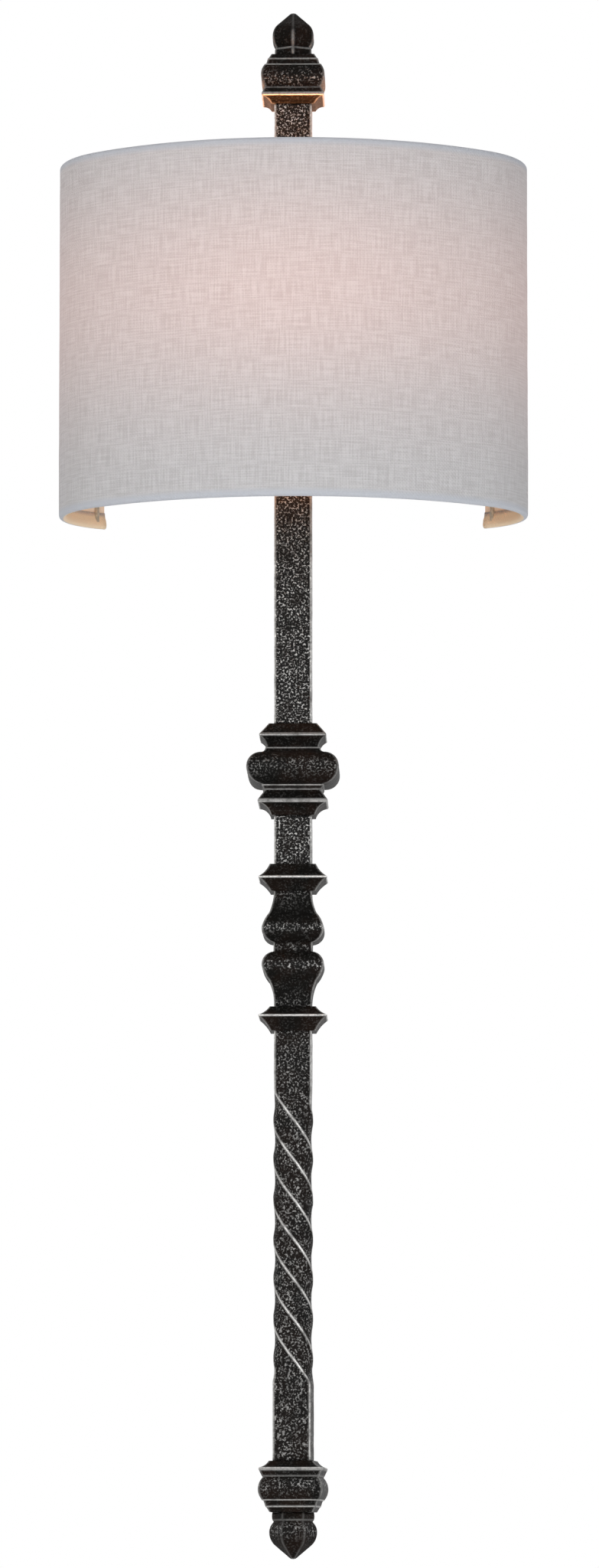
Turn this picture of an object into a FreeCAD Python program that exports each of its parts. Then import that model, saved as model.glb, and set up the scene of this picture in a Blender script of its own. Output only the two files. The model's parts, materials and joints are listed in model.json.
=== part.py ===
"""Torch sconce.

A square iron bar with knops, collars, a double knuckle and a twist hangs upright from a wall canopy.
Two candelabra lamps stand either side of it, inside a half-oval linen shade.

Millimetres, +Z up. The wall is the plane Y = 0 and the room lies towards -Y.
The origin is the centre of the wall box mount, behind the shade.
"""
import math
import os

import FreeCAD, Part

V = FreeCAD.Vector

# --- Driving dimensions of the iron bar and its knops ---
BAR_Y = -50.0               # bar axis, in front of the wall
BAR_SIDE = 20.6             # square bar, across flats
COLUMN_TOP = 138.7          # where the bar meets the underside of the upper knop
BIG_KNOP_TOP = -204.2
BIG_KNOP_HEIGHT = 49.9
UPPER_COLLAR_TOP = -280.9
UPPER_COLLAR = (7.45, 7.15)  # heights of the cove above the ridge and of the bevel below it
LOWER_COLLAR_TOP = -358.4
LOWER_COLLAR = (5.1, 8.0)
COLLAR_RIDGE = 18.7         # half width at the ridge
COLLAR_LIP = 0.5            # flat of the ridge
COLUMN_BOTTOM = -603.2      # where the bar meets the top of the lower knop
END_KNOP_HEIGHT = 27.5
FOOT_TURN = 4.5             # degrees, the foot of the bar and its knop end slightly short of square
FINIAL_HEIGHT = 25.1
FINIAL_GAP = 0.1            # between a finial and the knop that it screws down on

# --- Twist ---
TWIST_TOP = -403.2
TWIST_LENGTH = 159.7
TWIST_EASE = 10.0           # length at each end over which the twist starts and dies out
TWIST_TURNS = 1.75 - FOOT_TURN / 360    # left-handed
TWIST_RIDGE_R = 11.0
TWIST_FACE_R = 9.9
TWIST_SECTIONS = 57

# --- Threaded studs that hold the column together ---
STUD_R = 4.0
STUD_CLEARANCE = 0.05
STUD_GRIP = 14.0            # length of a stud inside each bar end
FINIAL_GRIP = 12.0
SET_SCREW_R = 2.0
SET_SCREW_GRIP = 3.0        # inside the bar
SET_SCREW_LENGTH = 7.5
SET_SCREW_OFFSET = 2.5      # from a joint to the set screw beside it
COLLAR_CLEARANCE = 0.15     # on each side of the bar inside a collar

# --- Wall canopy and its fixings ---
CANOPY_SIDE = 114.0
CANOPY_DEPTH = 22.0
CANOPY_WALL = 1.2
CANOPY_CORNER_R = 8.0
CANOPY_EDGE_R = 4.0
CROSSBAR_LENGTH = 105.0
CROSSBAR_WIDTH = 19.0
CROSSBAR_THICKNESS = 1.8
BOX_SCREW_SPACING = 88.9
BOX_SLOT_LENGTH = 12.0
BOX_SLOT_WIDTH = 4.5
CANOPY_STUD_X = 30.0
CANOPY_STUD_R = 2.0
CANOPY_STUD_SHOWS = 5.5     # in front of the canopy
CANOPY_STUD_ROOM = 0.2      # round each stud, in the canopy's hole
CAP_NUT_FLATS = 8.0
CAP_NUT_HEIGHT = 5.0        # of its straight part
CAP_NUT_GAP = 0.1
GROUND_SCREW_X = 14.0
GROUND_HEAD_FLATS = 7.0
GROUND_HEAD_HEIGHT = 2.8

# --- Arm that carries the bar off the canopy ---
PIPE_R = 5.0
PIPE_BORE_R = 3.5
PIPE_BACK_Y = -13.0
PIPE_END = 2.5              # pipe that shows in front of its lock nut
PIPE_ROOM = 0.05            # round the pipe and the nipples in their holes
THREAD_ROOM = 0.02          # round a threaded piece in its nut
SPACER_R = 9.0
SPACER_NECK_R = 6.6
SPACER_RIM = 3.0
LOCK_NUT_FLATS = 14.0
LOCK_NUT_THICKNESS = 4.5

# --- Lamps ---
LAMP_X = 45.0
LAMP_Y = -76.0
BRACKET_THICKNESS = 2.5
BRACKET_TOP = 12.0
BRACKET_HALF_WIDTH = 11.0
BRACKET_FLOOR = -66.0       # top face of the cross plate that the lampholders stand on
NIPPLE_BELOW = 7.5          # length of a nipple below the cross plate's top face
NIPPLE_ABOVE = 8.0
SOCKET_NUT_THICKNESS = 3.5
HOLDER_TOP = -24.0
HOLDER_R = 9.5
HOLDER_WELL = 22.0          # depth of the well for the lamp cap
HOLDER_FOOT = 12.0          # depth of the bore for the nipple
SHELL_R = 6.02              # inside radius of the screw shell
SHELL_WALL = 0.45
SHELL_LENGTH = 20.0
CONTACT_HALF_WIDTH = 2.0
CAP_R = 5.95                # lamp cap
CAP_HEIGHT = 20.0
NECK_R = 6.4                # glass where it leaves the cap
SLEEVE_R = 12.0
SLEEVE_WALL = 1.0
SLEEVE_TOP = -26.0
GLASS_R = 17.5
GLASS_WALL = 0.7
TIP_R = 5.0
TIP_START = 37.0            # degrees above level where the round tip begins
GLASS_TOP = 54.0
FILAMENT_Z = 22.0
FILAMENT_HALF_SPAN = 6.0
FILAMENT_R = 0.6
SUPPORT_R = 0.35

# --- Shade ---
SHADE_WIDTH = 257.0
SHADE_DEPTH = 125.0
SHADE_TOP = 105.7
SHADE_BOTTOM = -89.8
SHADE_END_Y = -8.0          # the two upright ends, just off the wall
SHADE_FRONT_R = 165.0       # plan radius of the front
SHADE_BACK_R = 46.0         # plan radius of the returns behind the widest point
SHADE_WIDEST = 85.5         # from the front to the widest point
CLOTH_THICKNESS = 1.0
LINING_THICKNESS = 0.4
LINING_GAP = 0.05
HEM_R = 2.1                 # cloth rolled round the frame wire
WIRE_R = 1.45
STAY_R = 1.25
STAY_ANGLE = 52.0           # degrees round the back radius from the widest point

# --- Shade arm, hooks and thumb screws ---
ARM_Z = 45.0
ARM_HEIGHT = 18.0
ARM_THICKNESS = 2.5
ARM_REACH = 88.0
ARM_FLANGE_END_Y = -19.0
HOOK_THICKNESS = 1.5
HOOK_GAP = 0.3
HOOK_SLOT_CLEARANCE = 0.45
HOOK_HALF_WIDTH = 6.0
HOOK_DROP = 7.0             # below the thumb screw
HOOK_RISE = 15.0            # above it
THUMB_Y = -26.0
THUMB_R = 2.0
THUMB_HEAD_R = 6.5
THUMB_HEAD_LENGTH = 7.0
THUMB_KNURLS = 20
KNURL_R = 0.7
KNURL_OFFSET = 0.3          # centre of each groove, outside the head
ARM_SCREW_SPACING = 9.0
ARM_SCREW_GRIP = 8.0
ARM_SCREW_HEAD_R = 3.6
ARM_SCREW_HEAD_HEIGHT = 2.4

# --- Lower wall spacer ---
SPACER_Z = -585.0
POST_R = 6.0
PAD_R = 8.0
PAD_THICKNESS = 3.0
POST_RIM = 3.0              # thick end of the post against the pad
SPACER_SCREW_GRIP = 7.0
SPACER_SCREW_SUNK = 4.0     # head below the end of the post
SPACER_SCREW_HEAD_R = 3.8
SPACER_SCREW_HEAD_HEIGHT = 2.5

# --- Worked out from the driving dimensions ---
HALF_BAR = BAR_SIDE / 2
BAR_FRONT_Y = BAR_Y - HALF_BAR
BAR_BACK_Y = BAR_Y + HALF_BAR
BIG_KNOP_BOTTOM = BIG_KNOP_TOP - BIG_KNOP_HEIGHT
UPPER_JOINT = UPPER_COLLAR_TOP - UPPER_COLLAR[0]
LOWER_JOINT = LOWER_COLLAR_TOP - LOWER_COLLAR[0]
SHADE_FRONT_Y = SHADE_END_Y - SHADE_DEPTH
SHADE_WIDEST_Y = SHADE_FRONT_Y + SHADE_WIDEST
HALF_SHADE = SHADE_WIDTH / 2
SHADE_SIDE_R = ((2 * SHADE_FRONT_R * SHADE_WIDEST - SHADE_WIDEST ** 2 - HALF_SHADE ** 2)
                / (2 * (SHADE_FRONT_R - HALF_SHADE)))
HOLE_R = STUD_R + STUD_CLEARANCE
CAP_TOP = HOLDER_TOP + 1.5
CAP_LOW = CAP_TOP - CAP_HEIGHT
SIDES = {"left": -1, "right": 1}


# --- Plain shapes ---
def block(x, y, z):
    """A box from three (low, high) pairs."""
    return Part.makeBox(x[1] - x[0], y[1] - y[0], z[1] - z[0], V(x[0], y[0], z[0]))


def rod(radius, start, end):
    """A round bar between two points."""
    axis = V(*end) - V(*start)
    return Part.makeCylinder(radius, axis.Length, V(*start), axis)


def tube(outer, inner, start, end):
    """A round tube between two points."""
    return rod(outer, start, end).cut(rod(inner, start, end))


def hexagon_bar(flats, start, end):
    """A hexagonal bar between two points, given across its flats."""
    axis = V(*end) - V(*start)
    radius = flats / math.sqrt(3)
    corners = [V(radius * math.cos(math.radians(60 * i)), radius * math.sin(math.radians(60 * i)), 0)
               for i in range(7)]
    prism = Part.Face(Part.makePolygon(corners)).extrude(V(0, 0, axis.Length))
    prism.Placement = FreeCAD.Placement(V(*start), FreeCAD.Rotation(V(0, 0, 1), axis))
    return prism


def turned(steps, x, y):
    """A solid of revolution about the upright line through (x, y), from an outline of (radius, z)."""
    face = Part.Face(Part.Wire(outline_edges(steps + [steps[0]])))
    solid = face.revolve(V(0, 0, 0), V(0, 0, 1), 360)
    solid.translate(V(x, y, 0))
    return solid


def outline_edges(steps):
    """Edges in the XZ plane through (x, z) points. A step of four numbers is an arc: (via, end)."""
    edges = []
    here = V(steps[0][0], 0, steps[0][1])
    for step in steps[1:]:
        there = V(step[-2], 0, step[-1])
        if len(step) == 4:
            edges.append(Part.Arc(here, V(step[0], 0, step[1]), there).toShape())
        else:
            edges.append(Part.makeLine(here, there))
        here = there
    return edges


def mitred(steps, sides):
    """A polygonal solid about the Z axis whose every side has the outline of (half width, z) steps."""
    right = outline_edges(steps)
    left = [edge.mirror(V(0, 0, 0), V(1, 0, 0)) for edge in right]
    low = V(steps[0][0], 0, steps[0][1])
    high = V(steps[-1][-2], 0, steps[-1][-1])
    caps = [Part.makeLine(V(-low.x, 0, low.z), low)]
    if high.x > 0:
        caps.append(Part.makeLine(V(-high.x, 0, high.z), high))
    face = Part.Face(Part.Wire(Part.__sortEdges__(right + left + caps)))
    reach = 2.5 * max(step[i] for step in steps for i in range(0, len(step), 2))
    prism = face.extrude(V(0, 2 * reach, 0))
    prism.translate(V(0, -reach, 0))
    solid = prism
    for i in range(1, sides // 2):
        other = prism.copy()
        other.rotate(V(0, 0, 0), V(0, 0, 1), 360 / sides * i)
        solid = solid.common(other)
    return solid


def on_bar(shape):
    """Moves a shape modelled about the Z axis onto the bar's axis."""
    shape.translate(V(0, BAR_Y, 0))
    return shape


def bar_hole(low, high, radius=HOLE_R):
    """The space for a stud along the bar's axis."""
    return rod(radius, (0, BAR_Y, low), (0, BAR_Y, high))


# --- The column ---
def end_knop_outline():
    """Half width against height above the face that meets the bar."""
    return [(12.1, 0.0), (13.9, 2.2, 17.0, 3.6), (17.2, 4.6), (15.5, 8.4), (15.1, 8.8),
            (17.5, 14.8, 15.9, 20.5), (15.5, 21.3), (14.7, 21.5), (13.7, 24.8), (13.2, 25.1),
            (11.8, END_KNOP_HEIGHT)]


def finial_outline():
    """Half width across flats against height above the knop."""
    return [(9.9, 0.0), (10.15, 2.1, 9.9, 4.2), (9.4, 4.8), (9.4, 5.2), (11.05, 8.2, 11.35, 11.0),
            (10.9, 14.0, 9.0, 17.4), (2.2, 24.1), (1.3, 24.9, 0.0, FINIAL_HEIGHT)]


def big_knop_outline():
    """Half width against height, from the lower face to the upper one."""
    return [(12.2, 0.0), (14.4, 4.0, 18.9, 6.3), (19.1, 7.6), (15.3, 13.0), (15.8, 13.3), (17.0, 16.1),
            (16.6, 16.5), (25.15, 25.2, 17.0, 33.9), (15.4, 34.9, 14.9, 36.6), (14.2, 37.0), (14.4, 38.1),
            (16.0, 40.9, 18.3, 42.9), (18.2, 43.7), (13.1, BIG_KNOP_HEIGHT)]


def collar_outline(cove, bevel):
    """Half width against height: a bevel up to the ridge, then a cove up to the top face."""
    lip = COLLAR_LIP / 2
    return [(12.4, -bevel), (15.2, -0.46 * bevel, COLLAR_RIDGE, -lip), (COLLAR_RIDGE, lip),
            (15.0, 0.46 * cove, 12.6, cove)]


def bulb_outline():
    """Half width of one knuckle bulb against the distance from the middle of the waist."""
    return [(10.6, 2.5), (14.9, 4.8, 16.9, 10.4), (15.6, 14.2, 13.0, 18.3), (11.4, 22.6, HALF_BAR, 30.0)]


def upper_knop():
    knop = mitred(end_knop_outline(), 4)
    knop.translate(V(0, BAR_Y, COLUMN_TOP))
    return knop.cut(bar_hole(COLUMN_TOP - 1, COLUMN_TOP + END_KNOP_HEIGHT + 1))


def lower_knop():
    knop = mitred(end_knop_outline(), 4)
    knop.rotate(V(0, 0, 0), V(1, 0, 0), 180)
    knop.rotate(V(0, 0, 0), V(0, 0, 1), -FOOT_TURN)
    knop.translate(V(0, BAR_Y, COLUMN_BOTTOM))
    return knop.cut(bar_hole(COLUMN_BOTTOM - END_KNOP_HEIGHT - 1, COLUMN_BOTTOM + 1))


def finial(face_z, upwards):
    """A hexagonal onion that screws onto the end stud. The upper one shows an edge to the front, the
    lower one a face."""
    onion = mitred(finial_outline(), 6)
    onion = onion.cut(rod(HOLE_R, (0, 0, -1), (0, 0, FINIAL_GRIP)))
    if not upwards:
        onion.rotate(V(0, 0, 0), V(0, 0, 1), 30)
        onion.rotate(V(0, 0, 0), V(1, 0, 0), 180)
    onion.translate(V(0, BAR_Y, face_z))
    return onion


def square_bar(low, high):
    return block((-HALF_BAR, HALF_BAR), (BAR_FRONT_Y, BAR_BACK_Y), (low, high))


def upper_bar():
    bar = square_bar(BIG_KNOP_TOP, COLUMN_TOP)
    bar = bar.cut(bar_hole(COLUMN_TOP - STUD_GRIP, COLUMN_TOP + 1))
    bar = bar.cut(bar_hole(BIG_KNOP_TOP - 1, BIG_KNOP_TOP + STUD_GRIP))
    bar = bar.cut(rod(PIPE_R + PIPE_ROOM, (0, BAR_FRONT_Y - 1, 0), (0, BAR_BACK_Y + 1, 0)))
    for z in arm_screw_heights():
        bar = bar.cut(rod(SET_SCREW_R, (0, BAR_BACK_Y - ARM_SCREW_GRIP, z), (0, BAR_BACK_Y + 1, z)))
    return bar


def big_knop():
    knop = mitred(big_knop_outline(), 4)
    knop.translate(V(0, BAR_Y, BIG_KNOP_BOTTOM))
    return knop.cut(bar_hole(BIG_KNOP_BOTTOM - 1, BIG_KNOP_TOP + 1))


def middle_bar():
    bar = square_bar(UPPER_JOINT, BIG_KNOP_BOTTOM)
    bar = bar.cut(bar_hole(BIG_KNOP_BOTTOM - STUD_GRIP, BIG_KNOP_BOTTOM + 1))
    bar = bar.cut(bar_hole(UPPER_JOINT - 1, UPPER_JOINT + STUD_GRIP))
    return bar.cut(set_screw(UPPER_JOINT + SET_SCREW_OFFSET))


def collar(heights, ridge_z):
    """A square ring with its ridge round the joint between two lengths of bar."""
    cove, bevel = heights
    ring = mitred(collar_outline(cove, bevel), 4)
    bore = HALF_BAR + COLLAR_CLEARANCE
    ring = ring.cut(block((-bore, bore), (-bore, bore), (-bevel - 1, cove + 1)))
    ring.translate(V(0, BAR_Y, ridge_z))
    return ring


def upper_collar():
    return collar(UPPER_COLLAR, UPPER_JOINT).cut(set_screw(UPPER_JOINT + SET_SCREW_OFFSET))


def lower_collar():
    return collar(LOWER_COLLAR, LOWER_JOINT).cut(set_screw(LOWER_JOINT - SET_SCREW_OFFSET))


def double_knuckle():
    """Two bulbs, mirrored about a short waist, with plain square ends."""
    bulb = bulb_outline()
    half = (UPPER_JOINT - LOWER_JOINT) / 2
    solid = square_bar(LOWER_JOINT, UPPER_JOINT)
    middle = (UPPER_JOINT + LOWER_JOINT) / 2
    for flip in (0, 180):
        lobe = mitred([(bulb[0][0], 0.0)] + bulb + [(HALF_BAR, half)], 4)
        lobe.rotate(V(0, 0, 0), V(1, 0, 0), flip)
        lobe.translate(V(0, BAR_Y, middle))
        solid = solid.fuse(lobe)
    solid = solid.removeSplitter()
    solid = solid.cut(bar_hole(UPPER_JOINT - STUD_GRIP, UPPER_JOINT + 1))
    return solid.cut(bar_hole(LOWER_JOINT - 1, LOWER_JOINT + STUD_GRIP))


def twist_angle(depth):
    """Degrees turned at a depth below the top of the twist, eased in and out at its ends."""
    full = 360.0 * TWIST_TURNS / (TWIST_LENGTH - TWIST_EASE)
    if depth < TWIST_EASE:
        return full * depth ** 2 / (2 * TWIST_EASE)
    if depth > TWIST_LENGTH - TWIST_EASE:
        left = TWIST_LENGTH - depth
        return 360.0 * TWIST_TURNS - full * left ** 2 / (2 * TWIST_EASE)
    return full * (depth - TWIST_EASE / 2)


def twist_section(depth):
    """A four-sided wire, square at the ends of the twist and a rounded cushion along it."""
    edge = min(depth, TWIST_LENGTH - depth) / TWIST_EASE
    blend = 0.5 - 0.5 * math.cos(math.pi * min(1.0, edge))
    ridge = HALF_BAR * math.sqrt(2) * (1 - blend) + TWIST_RIDGE_R * blend
    face = HALF_BAR * (1 - blend) + TWIST_FACE_R * blend
    turn = twist_angle(depth)
    z = TWIST_TOP - depth

    def at(radius, degrees):
        angle = math.radians(degrees + turn)
        return V(radius * math.cos(angle), BAR_Y + radius * math.sin(angle), z)

    edges = []
    for corner in (-135, -45, 45, 135):
        start = at(ridge, corner)
        end = at(ridge, corner + 90)
        if blend < 0.001:
            edges.append(Part.makeLine(start, end))
        else:
            edges.append(Part.Arc(start, at(face, corner + 45), end).toShape())
    return Part.Wire(edges)


def twisted_bar():
    """The lowest length of bar: plain, then twisted left-handed, then plain again."""
    step = TWIST_LENGTH / (TWIST_SECTIONS - 1)
    twist = Part.makeLoft([twist_section(step * i) for i in range(TWIST_SECTIONS)], True, False)
    bar = square_bar(TWIST_TOP, LOWER_JOINT).fuse([twist, foot_bar()])
    bar = bar.cut(bar_hole(LOWER_JOINT - STUD_GRIP, LOWER_JOINT + 1))
    bar = bar.cut(bar_hole(COLUMN_BOTTOM - 1, COLUMN_BOTTOM + STUD_GRIP))
    tip = BAR_BACK_Y - SPACER_SCREW_GRIP
    bar = bar.cut(rod(SET_SCREW_R, (0, tip, SPACER_Z), (0, BAR_BACK_Y + 1, SPACER_Z)))
    return bar.cut(set_screw(LOWER_JOINT - SET_SCREW_OFFSET))


def foot_bar():
    """The plain foot below the twist, which ends a few degrees short of square to the room."""
    foot = block((-HALF_BAR, HALF_BAR), (-HALF_BAR, HALF_BAR), (COLUMN_BOTTOM, TWIST_TOP - TWIST_LENGTH))
    foot.rotate(V(0, 0, 0), V(0, 0, 1), -FOOT_TURN)
    return on_bar(foot)


def end_studs():
    """Two studs, each through an end knop into the bar and the finial."""
    length = STUD_GRIP + END_KNOP_HEIGHT + FINIAL_GAP + FINIAL_GRIP - 1
    upper = bar_hole(COLUMN_TOP - STUD_GRIP, COLUMN_TOP - STUD_GRIP + length, STUD_R)
    lower = bar_hole(COLUMN_BOTTOM + STUD_GRIP - length, COLUMN_BOTTOM + STUD_GRIP, STUD_R)
    return Part.makeCompound([upper, lower])


def big_knop_stud():
    return bar_hole(BIG_KNOP_BOTTOM - STUD_GRIP, BIG_KNOP_TOP + STUD_GRIP, STUD_R)


def joint_studs():
    """Two studs across the joints inside the collars."""
    return Part.makeCompound([bar_hole(z - STUD_GRIP, z + STUD_GRIP, STUD_R)
                              for z in (UPPER_JOINT, LOWER_JOINT)])


def set_screw(z):
    """A headless screw through the back of a collar into the bar."""
    tip = BAR_BACK_Y - SET_SCREW_GRIP
    return rod(SET_SCREW_R, (0, tip, z), (0, tip + SET_SCREW_LENGTH, z))


def collar_set_screws():
    return Part.makeCompound([set_screw(UPPER_JOINT + SET_SCREW_OFFSET),
                              set_screw(LOWER_JOINT - SET_SCREW_OFFSET)])


# --- The wall canopy ---
def crossbar():
    """A flat strip against the wall box, slotted for the box screws."""
    half = CROSSBAR_LENGTH / 2
    strip = block((-half, half), (-CROSSBAR_THICKNESS, 0), (-CROSSBAR_WIDTH / 2, CROSSBAR_WIDTH / 2))
    slot_r = BOX_SLOT_WIDTH / 2
    run = BOX_SLOT_LENGTH / 2 - slot_r
    for side in SIDES.values():
        x = side * BOX_SCREW_SPACING / 2
        strip = strip.cut(block((x - run, x + run), (-5, 5), (-slot_r, slot_r)))
        for end in (x - run, x + run):
            strip = strip.cut(rod(slot_r, (end, -5, 0), (end, 5, 0)))
        stud_x = side * CANOPY_STUD_X
        strip = strip.cut(rod(CANOPY_STUD_R, (stud_x, -5, 0), (stud_x, 5, 0)))
    return strip.cut(rod(CANOPY_STUD_R, (GROUND_SCREW_X, -5, 0), (GROUND_SCREW_X, 5, 0)))


def ground_screw():
    face = -CROSSBAR_THICKNESS
    crown = face - GROUND_HEAD_HEIGHT
    head = hexagon_bar(GROUND_HEAD_FLATS, (GROUND_SCREW_X, crown, 0), (GROUND_SCREW_X, face, 0))
    shank = rod(CANOPY_STUD_R, (GROUND_SCREW_X, face, 0), (GROUND_SCREW_X, 0, 0))
    return head.fuse(shank)


def canopy_studs():
    tip = -CANOPY_DEPTH - CANOPY_STUD_SHOWS
    return Part.makeCompound([rod(CANOPY_STUD_R, (side * CANOPY_STUD_X, tip, 0), (side * CANOPY_STUD_X, 0, 0))
                              for side in SIDES.values()])


def canopy_pan(inset):
    """A square pan with rounded corners and a rounded front edge, open at the wall."""
    half = CANOPY_SIDE / 2 - inset
    pan = block((-half, half), (-CANOPY_DEPTH + inset, 0), (-half, half))
    uprights = [edge for edge in pan.Edges if abs(edge.tangentAt(edge.FirstParameter).y) > 0.9]
    pan = pan.makeFillet(CANOPY_CORNER_R - inset, uprights)
    front = [edge for edge in pan.Edges if edge.BoundBox.YMax < -CANOPY_DEPTH + inset + 0.01]
    return pan.makeFillet(CANOPY_EDGE_R - inset, front)


def canopy():
    pan = canopy_pan(0).cut(canopy_pan(CANOPY_WALL))
    pan = pan.cut(rod(PIPE_R + 2 * PIPE_ROOM, (0, -CANOPY_DEPTH - 1, 0), (0, -1, 0)))
    for side in SIDES.values():
        x = side * CANOPY_STUD_X
        pan = pan.cut(rod(CANOPY_STUD_R + CANOPY_STUD_ROOM, (x, -CANOPY_DEPTH - 1, 0), (x, -1, 0)))
    return pan


def cap_nut(side):
    """A domed nut that holds the canopy on its stud."""
    x = side * CANOPY_STUD_X
    face = -CANOPY_DEPTH - CAP_NUT_GAP
    crown = face - CAP_NUT_HEIGHT
    nut = hexagon_bar(CAP_NUT_FLATS, (x, crown, 0), (x, face, 0))
    dome = Part.makeSphere(CAP_NUT_FLATS / 2 - 0.2, V(x, crown, 0))
    dome = dome.common(block((x - 9, x + 9), (crown - 9, crown + 0.5), (-9, 9)))
    nut = nut.fuse(dome)
    hole_end = -CANOPY_DEPTH - CANOPY_STUD_SHOWS - 0.5
    return nut.cut(rod(CANOPY_STUD_R + STUD_CLEARANCE, (x, hole_end, 0), (x, 0, 0)))


# --- The arm ---
def pipe_front_y():
    return BAR_FRONT_Y - BRACKET_THICKNESS - LOCK_NUT_THICKNESS - PIPE_END


def arm_pipe():
    """The threaded pipe from the canopy through the bar. The lamp leads run in it."""
    return tube(PIPE_R, PIPE_BORE_R, (0, pipe_front_y(), 0), (0, PIPE_BACK_Y, 0))


def arm_spacer():
    """The round distance piece between the canopy and the bar, necked in the middle."""
    length = -CANOPY_DEPTH - BAR_BACK_Y
    bore = PIPE_R + PIPE_ROOM
    outline = [(bore, 0.0), (SPACER_R, 0.0), (SPACER_R, SPACER_RIM),
               (SPACER_NECK_R, length / 2, SPACER_R, length - SPACER_RIM), (SPACER_R, length), (bore, length)]
    spacer = turned(outline, 0, 0)
    spacer.rotate(V(0, 0, 0), V(1, 0, 0), -90)
    spacer.translate(V(0, BAR_BACK_Y, 0))
    return spacer


def lock_nut(face_y, forwards):
    tip = face_y - LOCK_NUT_THICKNESS if forwards else face_y + LOCK_NUT_THICKNESS
    low, high = min(face_y, tip), max(face_y, tip)
    nut = hexagon_bar(LOCK_NUT_FLATS, (0, low, 0), (0, high, 0))
    return nut.cut(rod(PIPE_R + THREAD_ROOM, (0, low - 1, 0), (0, high + 1, 0)))


def arm_lock_nuts():
    """One nut inside the canopy and one in front of the lamp bracket."""
    return Part.makeCompound([lock_nut(-CANOPY_DEPTH + CANOPY_WALL, False),
                              lock_nut(BAR_FRONT_Y - BRACKET_THICKNESS, True)])


# --- The lamps ---
def socket_bracket():
    """A bent plate: upright against the bar, then forward to a cross plate under the lampholders."""
    back = BAR_FRONT_Y
    front = back - BRACKET_THICKNESS
    under = BRACKET_FLOOR - BRACKET_THICKNESS
    half = BRACKET_HALF_WIDTH
    upright = block((-half, half), (front, back), (under, BRACKET_TOP))
    tongue = block((-half, half), (LAMP_Y, back), (under, BRACKET_FLOOR))
    cross = block((-LAMP_X, LAMP_X), (LAMP_Y - half, LAMP_Y + half), (under, BRACKET_FLOOR))
    plate = upright.fuse([tongue, cross])
    for side in SIDES.values():
        x = side * LAMP_X
        plate = plate.fuse(rod(half, (x, LAMP_Y, under), (x, LAMP_Y, BRACKET_FLOOR)))
    plate = plate.removeSplitter()
    for side in SIDES.values():
        x = side * LAMP_X
        plate = plate.cut(rod(PIPE_R + PIPE_ROOM, (x, LAMP_Y, under - 1), (x, LAMP_Y, BRACKET_FLOOR + 1)))
    return plate.cut(rod(PIPE_R + PIPE_ROOM, (0, front - 1, 0), (0, back + 1, 0)))


def socket_nipples():
    """Short threaded tubes that hold the lampholders on the bracket."""
    low, high = BRACKET_FLOOR - NIPPLE_BELOW, BRACKET_FLOOR + NIPPLE_ABOVE
    nipples = []
    for side in SIDES.values():
        x = side * LAMP_X
        nipples.append(tube(PIPE_R, PIPE_BORE_R, (x, LAMP_Y, low), (x, LAMP_Y, high)))
    return Part.makeCompound(nipples)


def socket_nuts():
    under = BRACKET_FLOOR - BRACKET_THICKNESS
    nuts = []
    for side in SIDES.values():
        x = side * LAMP_X
        nut = hexagon_bar(LOCK_NUT_FLATS, (x, LAMP_Y, under - SOCKET_NUT_THICKNESS), (x, LAMP_Y, under))
        bore = rod(PIPE_R + THREAD_ROOM, (x, LAMP_Y, under - NIPPLE_BELOW), (x, LAMP_Y, under + 1))
        nuts.append(nut.cut(bore))
    return Part.makeCompound(nuts)


def lampholder(x):
    """The insulating body, open at the top for the cap and bored below for the nipple."""
    floor = HOLDER_TOP - HOLDER_WELL
    body = rod(HOLDER_R, (x, LAMP_Y, BRACKET_FLOOR), (x, LAMP_Y, HOLDER_TOP))
    body = body.cut(rod(SHELL_R + SHELL_WALL + PIPE_ROOM, (x, LAMP_Y, floor), (x, LAMP_Y, HOLDER_TOP + 1)))
    foot = BRACKET_FLOOR + HOLDER_FOOT
    return body.cut(rod(PIPE_R + PIPE_ROOM, (x, LAMP_Y, BRACKET_FLOOR - 1), (x, LAMP_Y, foot)))


def screw_shell(x):
    high = HOLDER_TOP - 0.5
    return tube(SHELL_R + SHELL_WALL, SHELL_R, (x, LAMP_Y, high - SHELL_LENGTH), (x, LAMP_Y, high))


def centre_contact(x):
    """The springy tongue under the lamp cap's tip."""
    floor = HOLDER_TOP - HOLDER_WELL
    across = (LAMP_Y - CONTACT_HALF_WIDTH, LAMP_Y + CONTACT_HALF_WIDTH)
    foot = block((x - 4, x + 4), across, (floor, floor + 0.6))
    tongue = block((x - 2, x + 4), across, (floor + 0.9, floor + 1.3))
    heel = block((x + 3.5, x + 4), across, (floor, floor + 1.3))
    return foot.fuse([tongue, heel]).removeSplitter()


def candle_sleeve(x):
    return tube(SLEEVE_R, SLEEVE_R - SLEEVE_WALL, (x, LAMP_Y, BRACKET_FLOOR), (x, LAMP_Y, SLEEVE_TOP))


def bulb_cap(x):
    """The screw cap with its insulator and tip contact."""
    low = CAP_LOW
    outline = [(0.0, low - 1.8), (1.6, low - 1.8), (2.4, low - 0.8), (4.6, low), (CAP_R, low + 1.2),
               (CAP_R, CAP_TOP), (0.0, CAP_TOP)]
    return turned(outline, x, LAMP_Y)


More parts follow.
